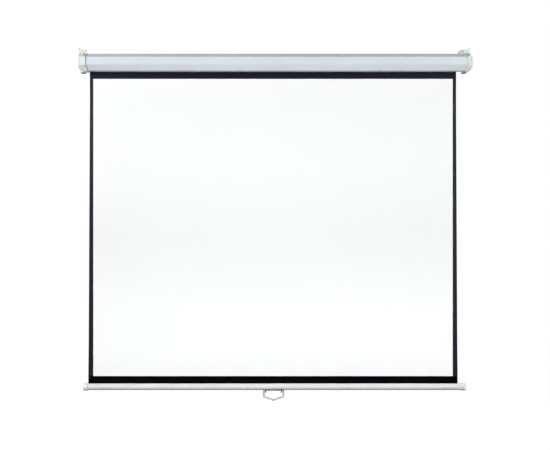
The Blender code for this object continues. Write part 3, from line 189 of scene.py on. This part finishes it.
def vary_colour(tree, shader, place, colour, other, size_mm):
    """Drift between two near colours in soft patches of the given size, and link that to the shader."""
    patches = add(tree, "ShaderNodeTexNoise", {"Vector": place, "Scale": per_metre(size_mm), "Detail": 3.0})
    share = add(
        tree, "ShaderNodeMapRange", {"Value": patches.outputs["Fac"], "From Min": 0.35, "From Max": 0.65}
    )
    mixed = blend_in(tree, share.outputs["Result"], colour, other)
    tree.links.new(mixed, shader.inputs["Base Color"])
    return mixed


def vary_roughness(tree, shader, place, low, high, size_mm):
    """Roughness that wanders between two values, as handling and cleaning leave it."""
    smears = add(tree, "ShaderNodeTexNoise", {"Vector": place, "Scale": per_metre(size_mm), "Detail": 4.0})
    rough = add(
        tree,
        "ShaderNodeMapRange",
        {"Value": smears.outputs["Fac"], "From Min": 0.3, "From Max": 0.7, "To Min": low, "To Max": high},
    )
    tree.links.new(rough.outputs["Result"], shader.inputs["Roughness"])


def grain_bump(tree, shader, place, size_mm, depth_mm):
    """A fine all-over grain of the given size and depth."""
    grain = add(tree, "ShaderNodeTexNoise", {"Vector": place, "Scale": per_metre(size_mm), "Detail": 2.0})
    bump = add(
        tree, "ShaderNodeBump", {"Height": grain.outputs["Fac"], "Strength": 1.0, "Distance": depth_mm * MM}
    )
    tree.links.new(bump.outputs["Normal"], shader.inputs["Normal"])


def dust_and_top_shade(tree, place, colour, dust_and_shade, most):
    """Dust and painted shade on faces that look up, thinner in patches."""
    geometry = add(tree, "ShaderNodeNewGeometry")
    normal = add(tree, "ShaderNodeSeparateXYZ", {"Vector": geometry.outputs["Normal"]})
    facing = add(
        tree, "ShaderNodeMapRange",
        {"Value": normal.outputs["Z"], "From Min": 0.35, "From Max": 1.0, "To Max": most},
    )
    patches = add(tree, "ShaderNodeTexNoise", {"Vector": place, "Scale": per_metre(14), "Detail": 6.0})
    share = add(
        tree, "ShaderNodeMath", {0: facing.outputs["Result"], 1: patches.outputs["Fac"]}, operation="MULTIPLY"
    )
    return blend_in(tree, share.outputs[0], colour, dust_and_shade)


def painted_shade_line(tree, place, colour, axis, start, width, most):
    """Painted shade that is darkest at one coordinate of an axis and fades out over a width above it."""
    along = add(tree, "ShaderNodeSeparateXYZ", {"Vector": place}).outputs[axis]
    share = add(
        tree, "ShaderNodeMapRange",
        {"Value": along, "From Min": start + width, "From Max": start, "To Max": most},
    )
    return blend_in(tree, share.outputs["Result"], colour, "#55524a")


def sunk_screw_shade(tree, place, colour, screw):
    """Painted shade in the countersink round a screw, fading outwards."""
    away = add(tree, "ShaderNodeVectorMath", {0: place, 1: middle_of(screw)}, operation="DISTANCE")
    share = add(
        tree, "ShaderNodeMapRange",
        {
            "Value": away.outputs["Value"],
            "From Min": SINK_RADIUS,
            "From Max": SINK_RADIUS / 2,
            "To Max": 0.9,
        },
        interpolation_type="SMOOTHSTEP",
    )
    return blend_in(tree, share.outputs["Result"], colour, "#26241f")


def edge_wear(tree, shader, place, colour, bare, radius_mm, strength):
    """Rubbed edges, where a softened normal differs from the true one, in a line that noise breaks up.

    It is the last step of a colour, and links it to the shader.
    """
    soft = add(tree, "ShaderNodeBevel", {"Radius": radius_mm * MM}, samples=4)
    geometry = add(tree, "ShaderNodeNewGeometry")
    match = add(
        tree, "ShaderNodeVectorMath",
        {0: soft.outputs["Normal"], 1: geometry.outputs["Normal"]}, operation="DOT_PRODUCT",
    )
    edge = add(
        tree, "ShaderNodeMapRange",
        {"Value": match.outputs["Value"], "From Min": 0.995, "From Max": 0.93, "To Max": strength},
    )
    breaks = add(tree, "ShaderNodeTexNoise", {"Vector": place, "Scale": per_metre(5), "Detail": 5.0})
    broken = add(
        tree, "ShaderNodeMapRange", {"Value": breaks.outputs["Fac"], "From Min": 0.45, "From Max": 0.65}
    )
    share = add(
        tree, "ShaderNodeMath", {0: edge.outputs["Result"], 1: broken.outputs["Result"]}, operation="MULTIPLY"
    )
    tree.links.new(blend_in(tree, share.outputs[0], colour, bare), shader.inputs["Base Color"])


# Materials of the rigid pieces


def powder_coated_steel():
    """Folded steel in baked white powder: a cool white with a soft sheen and orange peel. Dust and painted
    shade lie on top, and a painted shadow lies beside the left end cap.
    """
    made, tree, shader = start_material("powder_coated_steel", IOR=1.5, Specular_IOR_Level=0.35)
    place = add(tree, "ShaderNodeTexCoord").outputs["Object"]
    mouth_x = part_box("left_end_cap")[1].x
    colour = vary_colour(tree, shader, place, "#dfe7ec", "#dbe2e8", size_mm=160)
    # Painted shade on the top and the upward bevel, mixed with settled dirt.
    colour = dust_and_top_shade(tree, place, colour, dust_and_shade="#8b949e", most=0.8)
    # Painted shadow of the left end cap's lip, cast on the casing beside it.
    colour = painted_shade_line(tree, place, colour, "X", start=mouth_x, width=PAINTED_SHADOW_WIDTH, most=0.9)
    edge_wear(tree, shader, place, colour, bare="#c3cacd", radius_mm=0.8, strength=0.6)
    vary_roughness(tree, shader, place, low=0.28, high=0.40, size_mm=60)
    grain_bump(tree, shader, place, size_mm=1.6, depth_mm=0.03)
    return made


def enamelled_tube():
    """The bar's rolled tube in stoved white enamel: satin and neutral, with painted shade under its belly."""
    made, tree, shader = start_material("enamelled_tube", IOR=1.5, Specular_IOR_Level=0.22)
    place = add(tree, "ShaderNodeTexCoord").outputs["Object"]
    belly_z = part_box("bottom_bar")[0].z
    colour = vary_colour(tree, shader, place, "#dadddf", "#d6d9db", size_mm=110)
    # Painted shade along the underside of the bar.
    colour = painted_shade_line(tree, place, colour, "Z", start=belly_z, width=BELLY_HEIGHT, most=0.5)
    edge_wear(tree, shader, place, colour, bare="#b9bfc2", radius_mm=0.6, strength=0.5)
    vary_roughness(tree, shader, place, low=0.36, high=0.46, size_mm=45)
    grain_bump(tree, shader, place, size_mm=1.4, depth_mm=0.01)
    return made


def moulded_abs():
    """Injection-moulded white ABS: a little warmer than the paint, with spark texture and rubbed edges."""
    made, tree, shader = start_material("moulded_abs", IOR=1.53)
    place = add(tree, "ShaderNodeTexCoord").outputs["Object"]
    colour = vary_colour(tree, shader, place, "#e3e6e4", "#dee2e0", size_mm=40)
    # Painted shade in the countersinks round the front screws.
    for screw in ("left_cap_front_screw", "right_cap_front_screw"):
        colour = sunk_screw_shade(tree, place, colour, screw)
    colour = dust_and_top_shade(tree, place, colour, dust_and_shade="#bcbcb7", most=0.6)
    edge_wear(tree, shader, place, colour, bare="#eff2f3", radius_mm=0.9, strength=0.6)
    vary_roughness(tree, shader, place, low=0.34, high=0.48, size_mm=22)
    grain_bump(tree, shader, place, size_mm=0.5, depth_mm=0.012)
    return made


def grey_moulded_abs():
    """The handle's base in mid-grey ABS: spark textured, with edges rubbed pale by the bail and by hands."""
    made, tree, shader = start_material("grey_moulded_abs", IOR=1.53)
    place = add(tree, "ShaderNodeTexCoord").outputs["Object"]
    colour = vary_colour(tree, shader, place, "#7b7d82", "#707277", size_mm=9)
    edge_wear(tree, shader, place, colour, bare="#8f9195", radius_mm=0.5, strength=0.5)
    vary_roughness(tree, shader, place, low=0.42, high=0.58, size_mm=8)
    grain_bump(tree, shader, place, size_mm=0.5, depth_mm=0.012)
    return made


def drawn_white_rod():
    """The bail's thick wire with a dipped off-white skin: duller than the bar, greyed in patches by hands."""
    made, tree, shader = start_material("drawn_white_rod", IOR=1.5, Specular_IOR_Level=0.3)
    place = add(tree, "ShaderNodeTexCoord").outputs["Object"]
    vary_colour(tree, shader, place, "#c9cac8", "#bcbdba", size_mm=7)
    vary_roughness(tree, shader, place, low=0.40, high=0.60, size_mm=9)
    grain_bump(tree, shader, place, size_mm=0.8, depth_mm=0.015)
    return made


def painted_bracket_steel():
    """Thick folded steel with thin white paint: edges show grey where it has been handled."""
    made, tree, shader = start_material("painted_bracket_steel", IOR=1.5)
    place = add(tree, "ShaderNodeTexCoord").outputs["Object"]
    colour = vary_colour(tree, shader, place, "#e4e7e6", "#dcdfde", size_mm=18)
    colour = dust_and_top_shade(tree, place, colour, dust_and_shade="#b9bab6", most=0.5)
    edge_wear(tree, shader, place, colour, bare="#c2c6c7", radius_mm=0.5, strength=0.5)
    vary_roughness(tree, shader, place, low=0.30, high=0.50, size_mm=12)
    grain_bump(tree, shader, place, size_mm=1.1, depth_mm=0.03)
    return made


def zinc_plated_steel():
    """Stamped or rolled steel, bright zinc plated: bluish grey with cloudy passivation."""
    made, tree, shader = start_material("zinc_plated_steel", Metallic=0.85)
    place = add(tree, "ShaderNodeTexCoord").outputs["Object"]
    vary_colour(tree, shader, place, "#b2bcc1", "#9fabb1", size_mm=6)
    vary_roughness(tree, shader, place, low=0.30, high=0.50, size_mm=4)
    grain_bump(tree, shader, place, size_mm=0.6, depth_mm=0.01)
    return made


def turned_steel():
    """Free-cutting steel off the lathe: grey, with fine marks across the roller's axis."""
    made, tree, shader = start_material("turned_steel", Metallic=1.0)
    place = add(tree, "ShaderNodeTexCoord").outputs["Object"]
    vary_colour(tree, shader, place, "#bdbfc1", "#a6a9ab", size_mm=5)
    vary_roughness(tree, shader, place, low=0.24, high=0.38, size_mm=3)
    marks = add(tree, "ShaderNodeMapping", {"Vector": place, "Scale": (1.0, 0.04, 0.04)}).outputs["Vector"]
    # Tool marks are about 0.1 mm apart and are drawn at 0.4 mm, so that they show.
    grain_bump(tree, shader, marks, size_mm=0.4, depth_mm=0.01)
    return made


def oiled_spring_wire():
    """Cold-drawn spring wire with an oil film: dark grey and fairly bright."""
    made, tree, shader = start_material(
        "oiled_spring_wire", Metallic=1.0, Coat_Weight=0.3, Coat_Roughness=0.15
    )
    place = add(tree, "ShaderNodeTexCoord").outputs["Object"]
    vary_colour(tree, shader, place, "#85888b", "#6f7376", size_mm=3)
    vary_roughness(tree, shader, place, low=0.25, high=0.40, size_mm=2)
    grain_bump(tree, shader, place, size_mm=0.3, depth_mm=0.006)
    return made


def turned_brass():
    """Turned brass bush: dull yellow with a fine grain."""
    made, tree, shader = start_material("turned_brass", Metallic=1.0)
    place = add(tree, "ShaderNodeTexCoord").outputs["Object"]
    vary_colour(tree, shader, place, "#c0a463", "#a98c4d", size_mm=4)
    vary_roughness(tree, shader, place, low=0.28, high=0.42, size_mm=3)
    grain_bump(tree, shader, place, size_mm=0.4, depth_mm=0.008)
    return made


def grey_nylon():
    """Moulded grey nylon: matt and slightly milky, with smoother patches."""
    made, tree, shader = start_material(
        "grey_nylon", IOR=1.53, Subsurface_Weight=0.05, Subsurface_Scale=1.0 * MM
    )
    place = add(tree, "ShaderNodeTexCoord").outputs["Object"]
    vary_colour(tree, shader, place, "#8f9396", "#83888b", size_mm=8)
    vary_roughness(tree, shader, place, low=0.38, high=0.58, size_mm=5)
    grain_bump(tree, shader, place, size_mm=0.4, depth_mm=0.01)
    return made


def moulded_rubber():
    """Dark moulded rubber: matt, with a greyish bloom."""
    made, tree, shader = start_material("moulded_rubber", IOR=1.52, Specular_IOR_Level=0.3)
    place = add(tree, "ShaderNodeTexCoord").outputs["Object"]
    vary_colour(tree, shader, place, "#202224", "#2c2e30", size_mm=3)
    vary_roughness(tree, shader, place, low=0.70, high=0.92, size_mm=3)
    grain_bump(tree, shader, place, size_mm=0.35, depth_mm=0.02)
    return made


def black_zinc_steel():
    """Cold-headed screws, zinc plated and passivated black: a satin near-black, rubbed grey on the rims."""
    made, tree, shader = start_material("black_zinc_steel", Metallic=0.4)
    place = add(tree, "ShaderNodeTexCoord").outputs["Object"]
    colour = vary_colour(tree, shader, place, "#17181a", "#222326", size_mm=2)
    edge_wear(tree, shader, place, colour, bare="#6a6d70", radius_mm=0.25, strength=0.5)
    vary_roughness(tree, shader, place, low=0.35, high=0.55, size_mm=1.5)
    grain_bump(tree, shader, place, size_mm=0.3, depth_mm=0.005)
    return made


# Materials of the cloth


def lay_weave(tree, shader, cut, strength):
    """The cloth's plain weave as a bump: crossed threads, measured on the cloth cut flat."""
    # The glass cloth has about 20 threads to the centimetre, and 10 are drawn.
    across = add(tree, "ShaderNodeSeparateXYZ", {"Vector": cut})
    waves = []
    for axis in ("X", "Y"):
        phase = add(
            tree, "ShaderNodeMath", {0: across.outputs[axis], 1: 2 * math.pi * per_metre(THREAD_SPACING_MM)},
            operation="MULTIPLY",
        )
        waves.append(add(tree, "ShaderNodeMath", {0: phase.outputs[0]}, operation="SINE").outputs[0])
    height = add(tree, "ShaderNodeMath", {0: waves[0], 1: waves[1]}, operation="MULTIPLY").outputs[0]
    bump = add(tree, "ShaderNodeBump", {"Height": height, "Strength": strength, "Distance": THREAD_DEPTH})
    tree.links.new(bump.outputs["Normal"], shader.inputs["Normal"])


def between(tree, value, low, high):
    """1 where value lies between low and high, otherwise 0."""
    above = add(tree, "ShaderNodeMath", {0: value, 1: low}, operation="GREATER_THAN").outputs[0]
    below = add(tree, "ShaderNodeMath", {0: value, 1: high}, operation="LESS_THAN").outputs[0]
    return add(tree, "ShaderNodeMath", {0: above, 1: below}, operation="MULTIPLY").outputs[0]


def white_field(tree, cut, field):
    """1 on the front of the cloth inside the printed border, otherwise 0."""
    spot = add(tree, "ShaderNodeSeparateXYZ", {"Vector": cut})
    normal = add(tree, "ShaderNodeTexCoord").outputs["Normal"]
    facing = add(tree, "ShaderNodeSeparateXYZ", {"Vector": normal}).outputs["Y"]
    low, high = field
    across = between(tree, spot.outputs["X"], low.x, high.x)
    down = between(tree, spot.outputs["Y"], low.z, high.z)
    front = add(tree, "ShaderNodeMath", {0: facing, 1: 0.0}, operation="LESS_THAN").outputs[0]
    inside = add(tree, "ShaderNodeMath", {0: across, 1: down}, operation="MULTIPLY").outputs[0]
    return add(tree, "ShaderNodeMath", {0: inside, 1: front}, operation="MULTIPLY").outputs[0]


def projection_cloth(field):
    """Woven glass cloth with PVC on both faces: matt white field, black printed border and black back."""
    made, tree, shader = start_material(
        "projection_cloth", IOR=1.45, Specular_IOR_Level=CLOTH_SHINE, Specular_Tint=linear("#b4bfdc")
    )
    cut = add(tree, "ShaderNodeUVMap", uv_map="cut").outputs["UV"]
    white = white_field(tree, cut, field)
    clouds = add(tree, "ShaderNodeTexNoise", {"Vector": cut, "Scale": per_metre(260), "Detail": 3.0})
    cloudy = clouds.outputs["Fac"]
    blacks = blend_in(tree, cloudy, "#05060a", "#0a0c12")
    whites = blend_in(tree, cloudy, "#fdfdfd", "#fafbfb")
    tree.links.new(blend_in(tree, white, blacks, whites), shader.inputs["Base Color"])
    # The black print is smoother than the matt field and shines a little where it mirrors a lamp.
    print_rough = add(tree, "ShaderNodeMapRange", {"Value": cloudy, "To Min": 0.48, "To Max": 0.58})
    roughs = {MIX_SHARE: white, FIRST_NUMBER: print_rough.outputs["Result"], SECOND_NUMBER: 0.9}
    rough = add(tree, "ShaderNodeMix", roughs, data_type="FLOAT")
    tree.links.new(rough.outputs[MIXED_NUMBER], shader.inputs["Roughness"])
    lay_weave(tree, shader, cut, strength=0.5)
    return made


def black_coated_cloth():
    """The black back of the same cloth, as it lies on the roller: matt PVC with the weave showing through."""
    made, tree, shader = start_material("black_coated_cloth", IOR=1.45, Specular_IOR_Level=0.1)
    cut = add(tree, "ShaderNodeUVMap", uv_map="cut").outputs["UV"]
    vary_colour(tree, shader, cut, "#07080b", "#0d0e12", size_mm=90)
    vary_roughness(tree, shader, cut, low=0.60, high=0.80, size_mm=70)
    lay_weave(tree, shader, cut, strength=0.5)
    return made


def black_hem_cloth(seam_low, seam_high):
    """The cloth's uncoated black foot: matt weave, pressed flat and a little shiny in the welded seam."""
    made, tree, shader = start_material("black_hem_cloth", IOR=1.45, Specular_IOR_Level=0.02)
    cut = add(tree, "ShaderNodeUVMap", uv_map="cut").outputs["UV"]
    vary_colour(tree, shader, cut, "#030304", "#070709", size_mm=60)
    place = add(tree, "ShaderNodeTexCoord").outputs["Object"]
    height = add(tree, "ShaderNodeSeparateXYZ", {"Vector": place}).outputs["Z"]
    seam = between(tree, height, seam_low, seam_high)
    rough = add(tree, "ShaderNodeMapRange", {"Value": seam, "To Min": 0.9, "To Max": 0.6})
    tree.links.new(rough.outputs["Result"], shader.inputs["Roughness"])
    pressed = add(tree, "ShaderNodeMapRange", {"Value": seam, "To Min": 0.5, "To Max": 0.15})
    lay_weave(tree, shader, cut, strength=pressed.outputs["Result"])
    return made


# Cloth


def mesh_piece(name, mesh, finish):
    """An object from a mesh, with its material and smooth shading."""
    data = bpy.data.meshes.new(name)
    mesh.to_mesh(data)
    mesh.free()
    data.materials.append(finish)
    data.shade_smooth()
    data.set_sharp_from_angle(angle=CLOTH_SHARP_ABOVE)
    made = bpy.data.objects.new(name, data)
    bpy.context.scene.collection.objects.link(made)
    return made


def thick_sheet(rows, thickness):
    """A sheet through rows of (point, normal, uv), given its thickness to both sides of the points."""
    mesh = bmesh.new()
    uv_layer = mesh.loops.layers.uv.new("cut")
    uv_of = {}
    sides = []
    for way in (-0.5, 0.5):
        grid = []
        for row in rows:
            verts = [mesh.verts.new(point + normal * thickness * way) for point, normal, _ in row]
            uv_of.update(zip(verts, [uv for _, _, uv in row]))
            grid.append(verts)
        sides.append(grid)
    count_rows, count_columns = len(rows), len(rows[0])

    def quad(a, b, c, d):
        """A face whose corners carry their places on the cloth cut flat."""
        face = mesh.faces.new((a, b, c, d))
        for loop in face.loops:
            loop[uv_layer].uv = uv_of[loop.vert]

    for grid in sides:
        for i in range(count_rows - 1):
            for j in range(count_columns - 1):
                quad(grid[i][j], grid[i][j + 1], grid[i + 1][j + 1], grid[i + 1][j])
    first, second = sides
    for i in range(count_rows - 1):
        for j in (0, count_columns - 1):
            quad(first[i][j], first[i + 1][j], second[i + 1][j], second[i][j])
    for j in range(count_columns - 1):
        for i in (0, count_rows - 1):
            quad(first[i][j], first[i][j + 1], second[i][j + 1], second[i][j])
    bmesh.ops.recalc_face_normals(mesh, faces=mesh.faces)
    return mesh


def smooth_step(value, low, high):
    """0 up to low and 1 from high on, with a soft rise between."""
    share = min(max((value - low) / (high - low), 0.0), 1.0)
    return share * share * (3 - 2 * share)


def stray(x, z, left, right):
    """How far the free cloth lies behind its plane: soft ripples, and side edges that turn back."""
    spot = Vector((x / RIPPLE_LENGTH, RIPPLE_PATTERN, z / (RIPPLE_STRETCH * RIPPLE_LENGTH)))
    sway = 0.5 + 0.5 * noise.noise(spot)
    edge = min(x - left, right - x)
    curl = (1 - smooth_step(edge, 0.0, EDGE_CURL_WIDTH)) ** 2
    return RIPPLE_DEPTH * sway + EDGE_CURL_DEPTH * curl


def hung_rows(face_y, top_z, foot_z):
    """Rows down the hanging cloth: held straight under the casing and at the foot, free between."""
    back_low, back_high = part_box("cloth_backing")
    wraps_low, wraps_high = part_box("cloth_wraps")
    casing_foot_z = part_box("casing_shell")[0].z
    rows = []
    for i in range(CLOTH_ROWS + 1):
        z = top_z + (foot_z - top_z) * i / CLOTH_ROWS
        down = (z - top_z) / (foot_z - top_z)
        left = wraps_low.x + (back_low.x - wraps_low.x) * down
        right = wraps_high.x + (back_high.x - wraps_high.x) * down
        below_casing = smooth_step(casing_foot_z - z, 0.0, FREE_BELOW_CASING)
        above_foot = smooth_step(z - foot_z, 0.0, FREE_ABOVE_FOOT)
        row = []
        for j in range(CLOTH_COLUMNS + 1):
            share = 0.5 - 0.5 * math.cos(math.pi * j / CLOTH_COLUMNS)  # closer columns at the edges
            x = left + (right - left) * share
            y = face_y + below_casing * above_foot * stray(x, z, left, right)
            row.append((Vector((x, y, z)), Vector((0, 1, 0)), (x, z)))
        rows.append(row)
    return rows


def hang_cloth():
    """The screen's cloth from the roller to the hem, white field and black back in one sheet."""
    back_low, back_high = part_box("cloth_backing")
    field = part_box("cloth_field")
    face_y = (field[0].y + back_high.y) / 2
    top_z, foot_z = back_high.z, back_low.z
    sheet = thick_sheet(hung_rows(face_y, top_z, foot_z), CLOTH_THICKNESS)
    cloth = mesh_piece("screen_cloth", sheet, projection_cloth(field))
    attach(cloth, "case")
    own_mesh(cloth)
    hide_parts("cloth_backing", "cloth_field")


def ribbon_rows(path, low_x, high_x, columns):
    """Rows for a ribbon that follows a (y, z) path and runs from low_x to high_x, and its length."""
    rows = []
    run = 0.0
    for i, spot in enumerate(path):
        ahead = path[min(i + 1, len(path) - 1)]
        behind = path[max(i - 1, 0)]
        way = Vector((0, ahead[0] - behind[0], ahead[1] - behind[1])).normalized()
        normal = Vector((0, -way.z, way.y))
        if i:
            run += math.dist(spot, path[i - 1])
        xs = [low_x + (high_x - low_x) * j / columns for j in range(columns + 1)]
        rows.append([(Vector((x, *spot)), normal, (x, -run)) for x in xs])
    return rows, run


def section_middle(low, high):
    """The (y, z) middle of a box."""
    return (low.y + high.y) / 2, (low.z + high.z) / 2


def on_circle(centre, radius, angle):
    """The (y, z) point at an angle round a centre."""
    return centre[0] + radius * math.cos(angle), centre[1] + radius * math.sin(angle)


def make_hem():
    """The cloth's black foot: a strip that goes into the bar's slot and round the hem rod."""
    low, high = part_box("cloth_hem")
    rod_low, rod_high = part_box("hem_rod")
    bar_top_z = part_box("bottom_bar")[1].z
    foot_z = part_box("cloth_backing")[0].z
    centre = section_middle(rod_low, rod_high)
    radius = (rod_high.z - rod_low.z) / 2 + HEM_THICKNESS
    path = [(centre[0], foot_z - HEM_GAP), (centre[0], bar_top_z)]
    for i in range(HEM_ARC_STEPS + 1):
        angle = math.radians(HEM_ARC_START - HEM_ARC * i / HEM_ARC_STEPS)
        path.append(on_circle(centre, radius, angle))
    rows, run = ribbon_rows(path, low.x, high.x, HEM_COLUMNS)
    seam_low = bar_top_z + SEAM_GAP
    finish = black_hem_cloth(seam_low, seam_low + SEAM_HEIGHT)
    hem = mesh_piece("hem_strip", thick_sheet(rows, HEM_THICKNESS), finish)
    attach(hem, "screen_bar")
    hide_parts("cloth_hem")


def make_wraps():
    """The last turn of cloth, which stays on the roller."""
    low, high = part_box("cloth_wraps")
    centre = section_middle(low, high)
    outer = (high.y - low.y) / 2 - WRAP_THICKNESS
    inner = outer - WRAP_PITCH * WRAP_THICKNESS
    path = []
    for i in range(WRAP_STEPS + 1):
        radius = outer + (inner - outer) * i / WRAP_STEPS
        path.append(on_circle(centre, radius, 2 * math.pi * i / WRAP_STEPS))
    rows, run = ribbon_rows(path, low.x, high.x, WRAP_COLUMNS)
    wraps = mesh_piece("roller_wrap", thick_sheet(rows, WRAP_THICKNESS), black_coated_cloth())
    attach(wraps, "roller")
    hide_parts("cloth_wraps")


# Rigid pieces


def dress_frame():
    """Give every rigid piece of the frame its finish."""
    finishes = {
        powder_coated_steel: ["casing_shell"],
        enamelled_tube: ["bottom_bar"],
        moulded_abs: ["left_end_cap", "right_end_cap", "left_bar_cap", "right_bar_cap"],
        grey_moulded_abs: ["handle_base"],
        drawn_white_rod: ["handle_bail"],
        painted_bracket_steel: ["left_hanger_bracket", "right_hanger_bracket"],
        zinc_plated_steel: ["right_wall_ear", "roller_tube"],
        turned_steel: [
            "spindle", "idle_pin", "hem_rod", "ratchet_wheel", "upper_pawl", "lower_pawl", "upper_pawl_pin",
            "lower_pawl_pin", "spring_collar", "left_handle_screw", "right_handle_screw",
        ],
        black_zinc_steel: [
            "left_cap_front_screw", "left_cap_top_screw", "right_cap_front_screw", "right_cap_top_screw",
        ],
        oiled_spring_wire: ["torsion_spring"],
        turned_brass: ["idle_bush"],
        grey_nylon: ["idle_plug", "lock_plug", "spring_plug"],
        moulded_rubber: ["left_buffer", "right_buffer"],
    }
    for make, names in finishes.items():
        finish = make()
        for name in names:
            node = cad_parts[name]
            node.data.materials.clear()
            node.data.materials.append(finish)


def round_shading():
    """Nodes that merge a CAD mesh's doubled corners and shade its small facets as one round surface.

    True edges stay sharp.
    """
    tree = bpy.data.node_groups.new("round_shading", "GeometryNodeTree")
    tree.interface.new_socket("Mesh", in_out="INPUT", socket_type="NodeSocketGeometry")
    tree.interface.new_socket("Mesh", in_out="OUTPUT", socket_type="NodeSocketGeometry")
    given = add(tree, "NodeGroupInput").outputs["Mesh"]
    merged = add(tree, "GeometryNodeMergeByDistance", {"Geometry": given, "Distance": MERGE_DISTANCE})
    angle = add(tree, "GeometryNodeInputMeshEdgeAngle").outputs["Unsigned Angle"]
    sharp = add(tree, "FunctionNodeCompare", {0: angle, 1: ROUND_BELOW}, operation="GREATER_THAN")
    shaded = add(
        tree, "GeometryNodeSetMeshNormal",
        {
            "Mesh": merged.outputs["Geometry"],
            "Remove Custom": True,
            "Edge Sharpness": sharp.outputs["Result"],
        },
        mode="SHARPNESS",
    )
    add(tree, "NodeGroupOutput", {"Mesh": shaded.outputs["Mesh"]})
    return tree


def shade_round_pieces():
    """The turned, drawn and rolled pieces look round, with flat faces kept flat."""
    tree = round_shading()
    for name in ROUND_PIECES:
        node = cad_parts[name]
        node.modifiers.new("round_shading", "NODES").node_group = tree
        weighted = node.modifiers.new("flat_faces_stay_flat", "WEIGHTED_NORMAL")
        weighted.keep_sharp = True


# Studio


def softbox(name, place, size, level, target=SCREEN_MIDDLE, spread=180):
    """A soft lamp out of the camera's sight.

    At level 1 and full spread, white cloth that faces it sends back half of white, in linear light.
    """
    data = bpy.data.lights.new(name, "AREA")
    data.shape = "RECTANGLE"
    data.size, data.size_y = size
    data.spread = math.radians(spread)
    way = target - Vector(place)
    data.energy = 0.5 * level * math.pi**2 * way.length_squared
    lamp = bpy.data.objects.new(name, data)
    bpy.context.scene.collection.objects.link(lamp)
    lamp.location = place
    lamp.rotation_euler = way.to_track_quat("-Z", "Y").to_euler()
    lamp.visible_camera = False


def seen_rays(tree):
    """1 for camera, glossy and transmission rays, 0 for those that only carry light."""
    path = add(tree, "ShaderNodeLightPath")
    total = path.outputs["Is Camera Ray"]
    for name in ("Is Glossy Ray", "Is Transmission Ray"):
        total = add(tree, "ShaderNodeMath", {0: total, 1: path.outputs[name]}, operation="MAXIMUM").outputs[0]
    return total


def light_studio():
    """A white surround and soft lamps: one at each side, two in front, and one behind."""
    world = bpy.data.worlds.new("studio")
    bpy.context.scene.world = world
    world.use_nodes = True
    tree = world.node_tree
    tree.nodes.clear()
    room = add(tree, "ShaderNodeBackground", {"Color": linear("#c3d4e6"), "Strength": ROOM_LIGHT})
    white = add(tree, "ShaderNodeBackground", {"Color": linear("#ffffff"), "Strength": 1.0})
    mixed = add(tree, "ShaderNodeMixShader", {0: seen_rays(tree), 1: room.outputs[0], 2: white.outputs[0]})
    add(tree, "ShaderNodeOutputWorld", {"Surface": mixed.outputs[0]})
    softbox("left_lamp", place=(-2.4, -1.6, 0.22), size=(0.7, 1.2), level=1.04)
    softbox("right_lamp", place=(2.4, -1.6, -0.12), size=(0.7, 1.2), level=0.93)
    softbox("middle_lamp", place=(0.0, -1.28, -0.42), size=(1.6, 0.4), level=1.06)
    softbox(
        "foot_lamp", place=(0.0, -0.96, -1.0), size=(2.4, 0.3), level=0.31, target=SCREEN_FOOT, spread=72
    )
    softbox("back_lamp", place=(0.0, 4.5, 3.2), size=(5.0, 2.5), level=1.2)


def pale_floor():
    """Matt grey to the light that falls on it, and mostly a white glow to the camera."""
    made = bpy.data.materials.new("pale_floor")
    made.use_nodes = True
    tree = made.node_tree
    tree.nodes.clear()
    matt = add(tree, "ShaderNodeBsdfDiffuse", {"Color": linear("#5f6163")})
    glow = add(tree, "ShaderNodeEmission", {"Color": linear("#ffffff"), "Strength": FLOOR_GLOW})
    share = add(tree, "ShaderNodeMath", {0: seen_rays(tree), 1: GLOW_SHARE}, operation="MULTIPLY")
    mixed = add(tree, "ShaderNodeMixShader", {0: share.outputs[0], 1: matt.outputs[0], 2: glow.outputs[0]})
    add(tree, "ShaderNodeOutputMaterial", {"Surface": mixed.outputs[0]})
    return made


def lay_floor():
    """A plain pale floor that reads as white to the camera but still takes shadow."""
    low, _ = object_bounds()
    height = low[2] - FLOOR_DROP
    half = FLOOR_SIZE / 2
    corners = ((-half, -half), (half, -half), (half, half), (-half, half))
    mesh = bmesh.new()
    mesh.faces.new([mesh.verts.new((x, y, height)) for x, y in corners])
    data = bpy.data.meshes.new("floor")
    mesh.to_mesh(data)
    mesh.free()
    data.materials.append(pale_floor())
    floor = bpy.data.objects.new("floor", data)
    bpy.context.scene.collection.objects.link(floor)


def place_camera():
    """The photograph's camera: level, square to the wall and at the height of the screen's middle."""
    data = bpy.data.cameras.new("photo_camera")
    data.sensor_width = SENSOR_WIDTH
    data.sensor_fit = "HORIZONTAL"
    data.lens = FOCAL_PIXELS / IMAGE_WIDTH * SENSOR_WIDTH
    camera = bpy.data.objects.new("photo_camera", data)
    bpy.context.scene.collection.objects.link(camera)
    camera.location = CAMERA_PLACE
    camera.rotation_euler = (math.pi / 2, 0.0, 0.0)
    bpy.context.scene.camera = camera


dress_frame()
shade_round_pieces()
hang_cloth()
make_hem()
make_wraps()
light_studio()
lay_floor()
place_camera()
bpy.context.scene.view_settings.view_transform = "Standard"
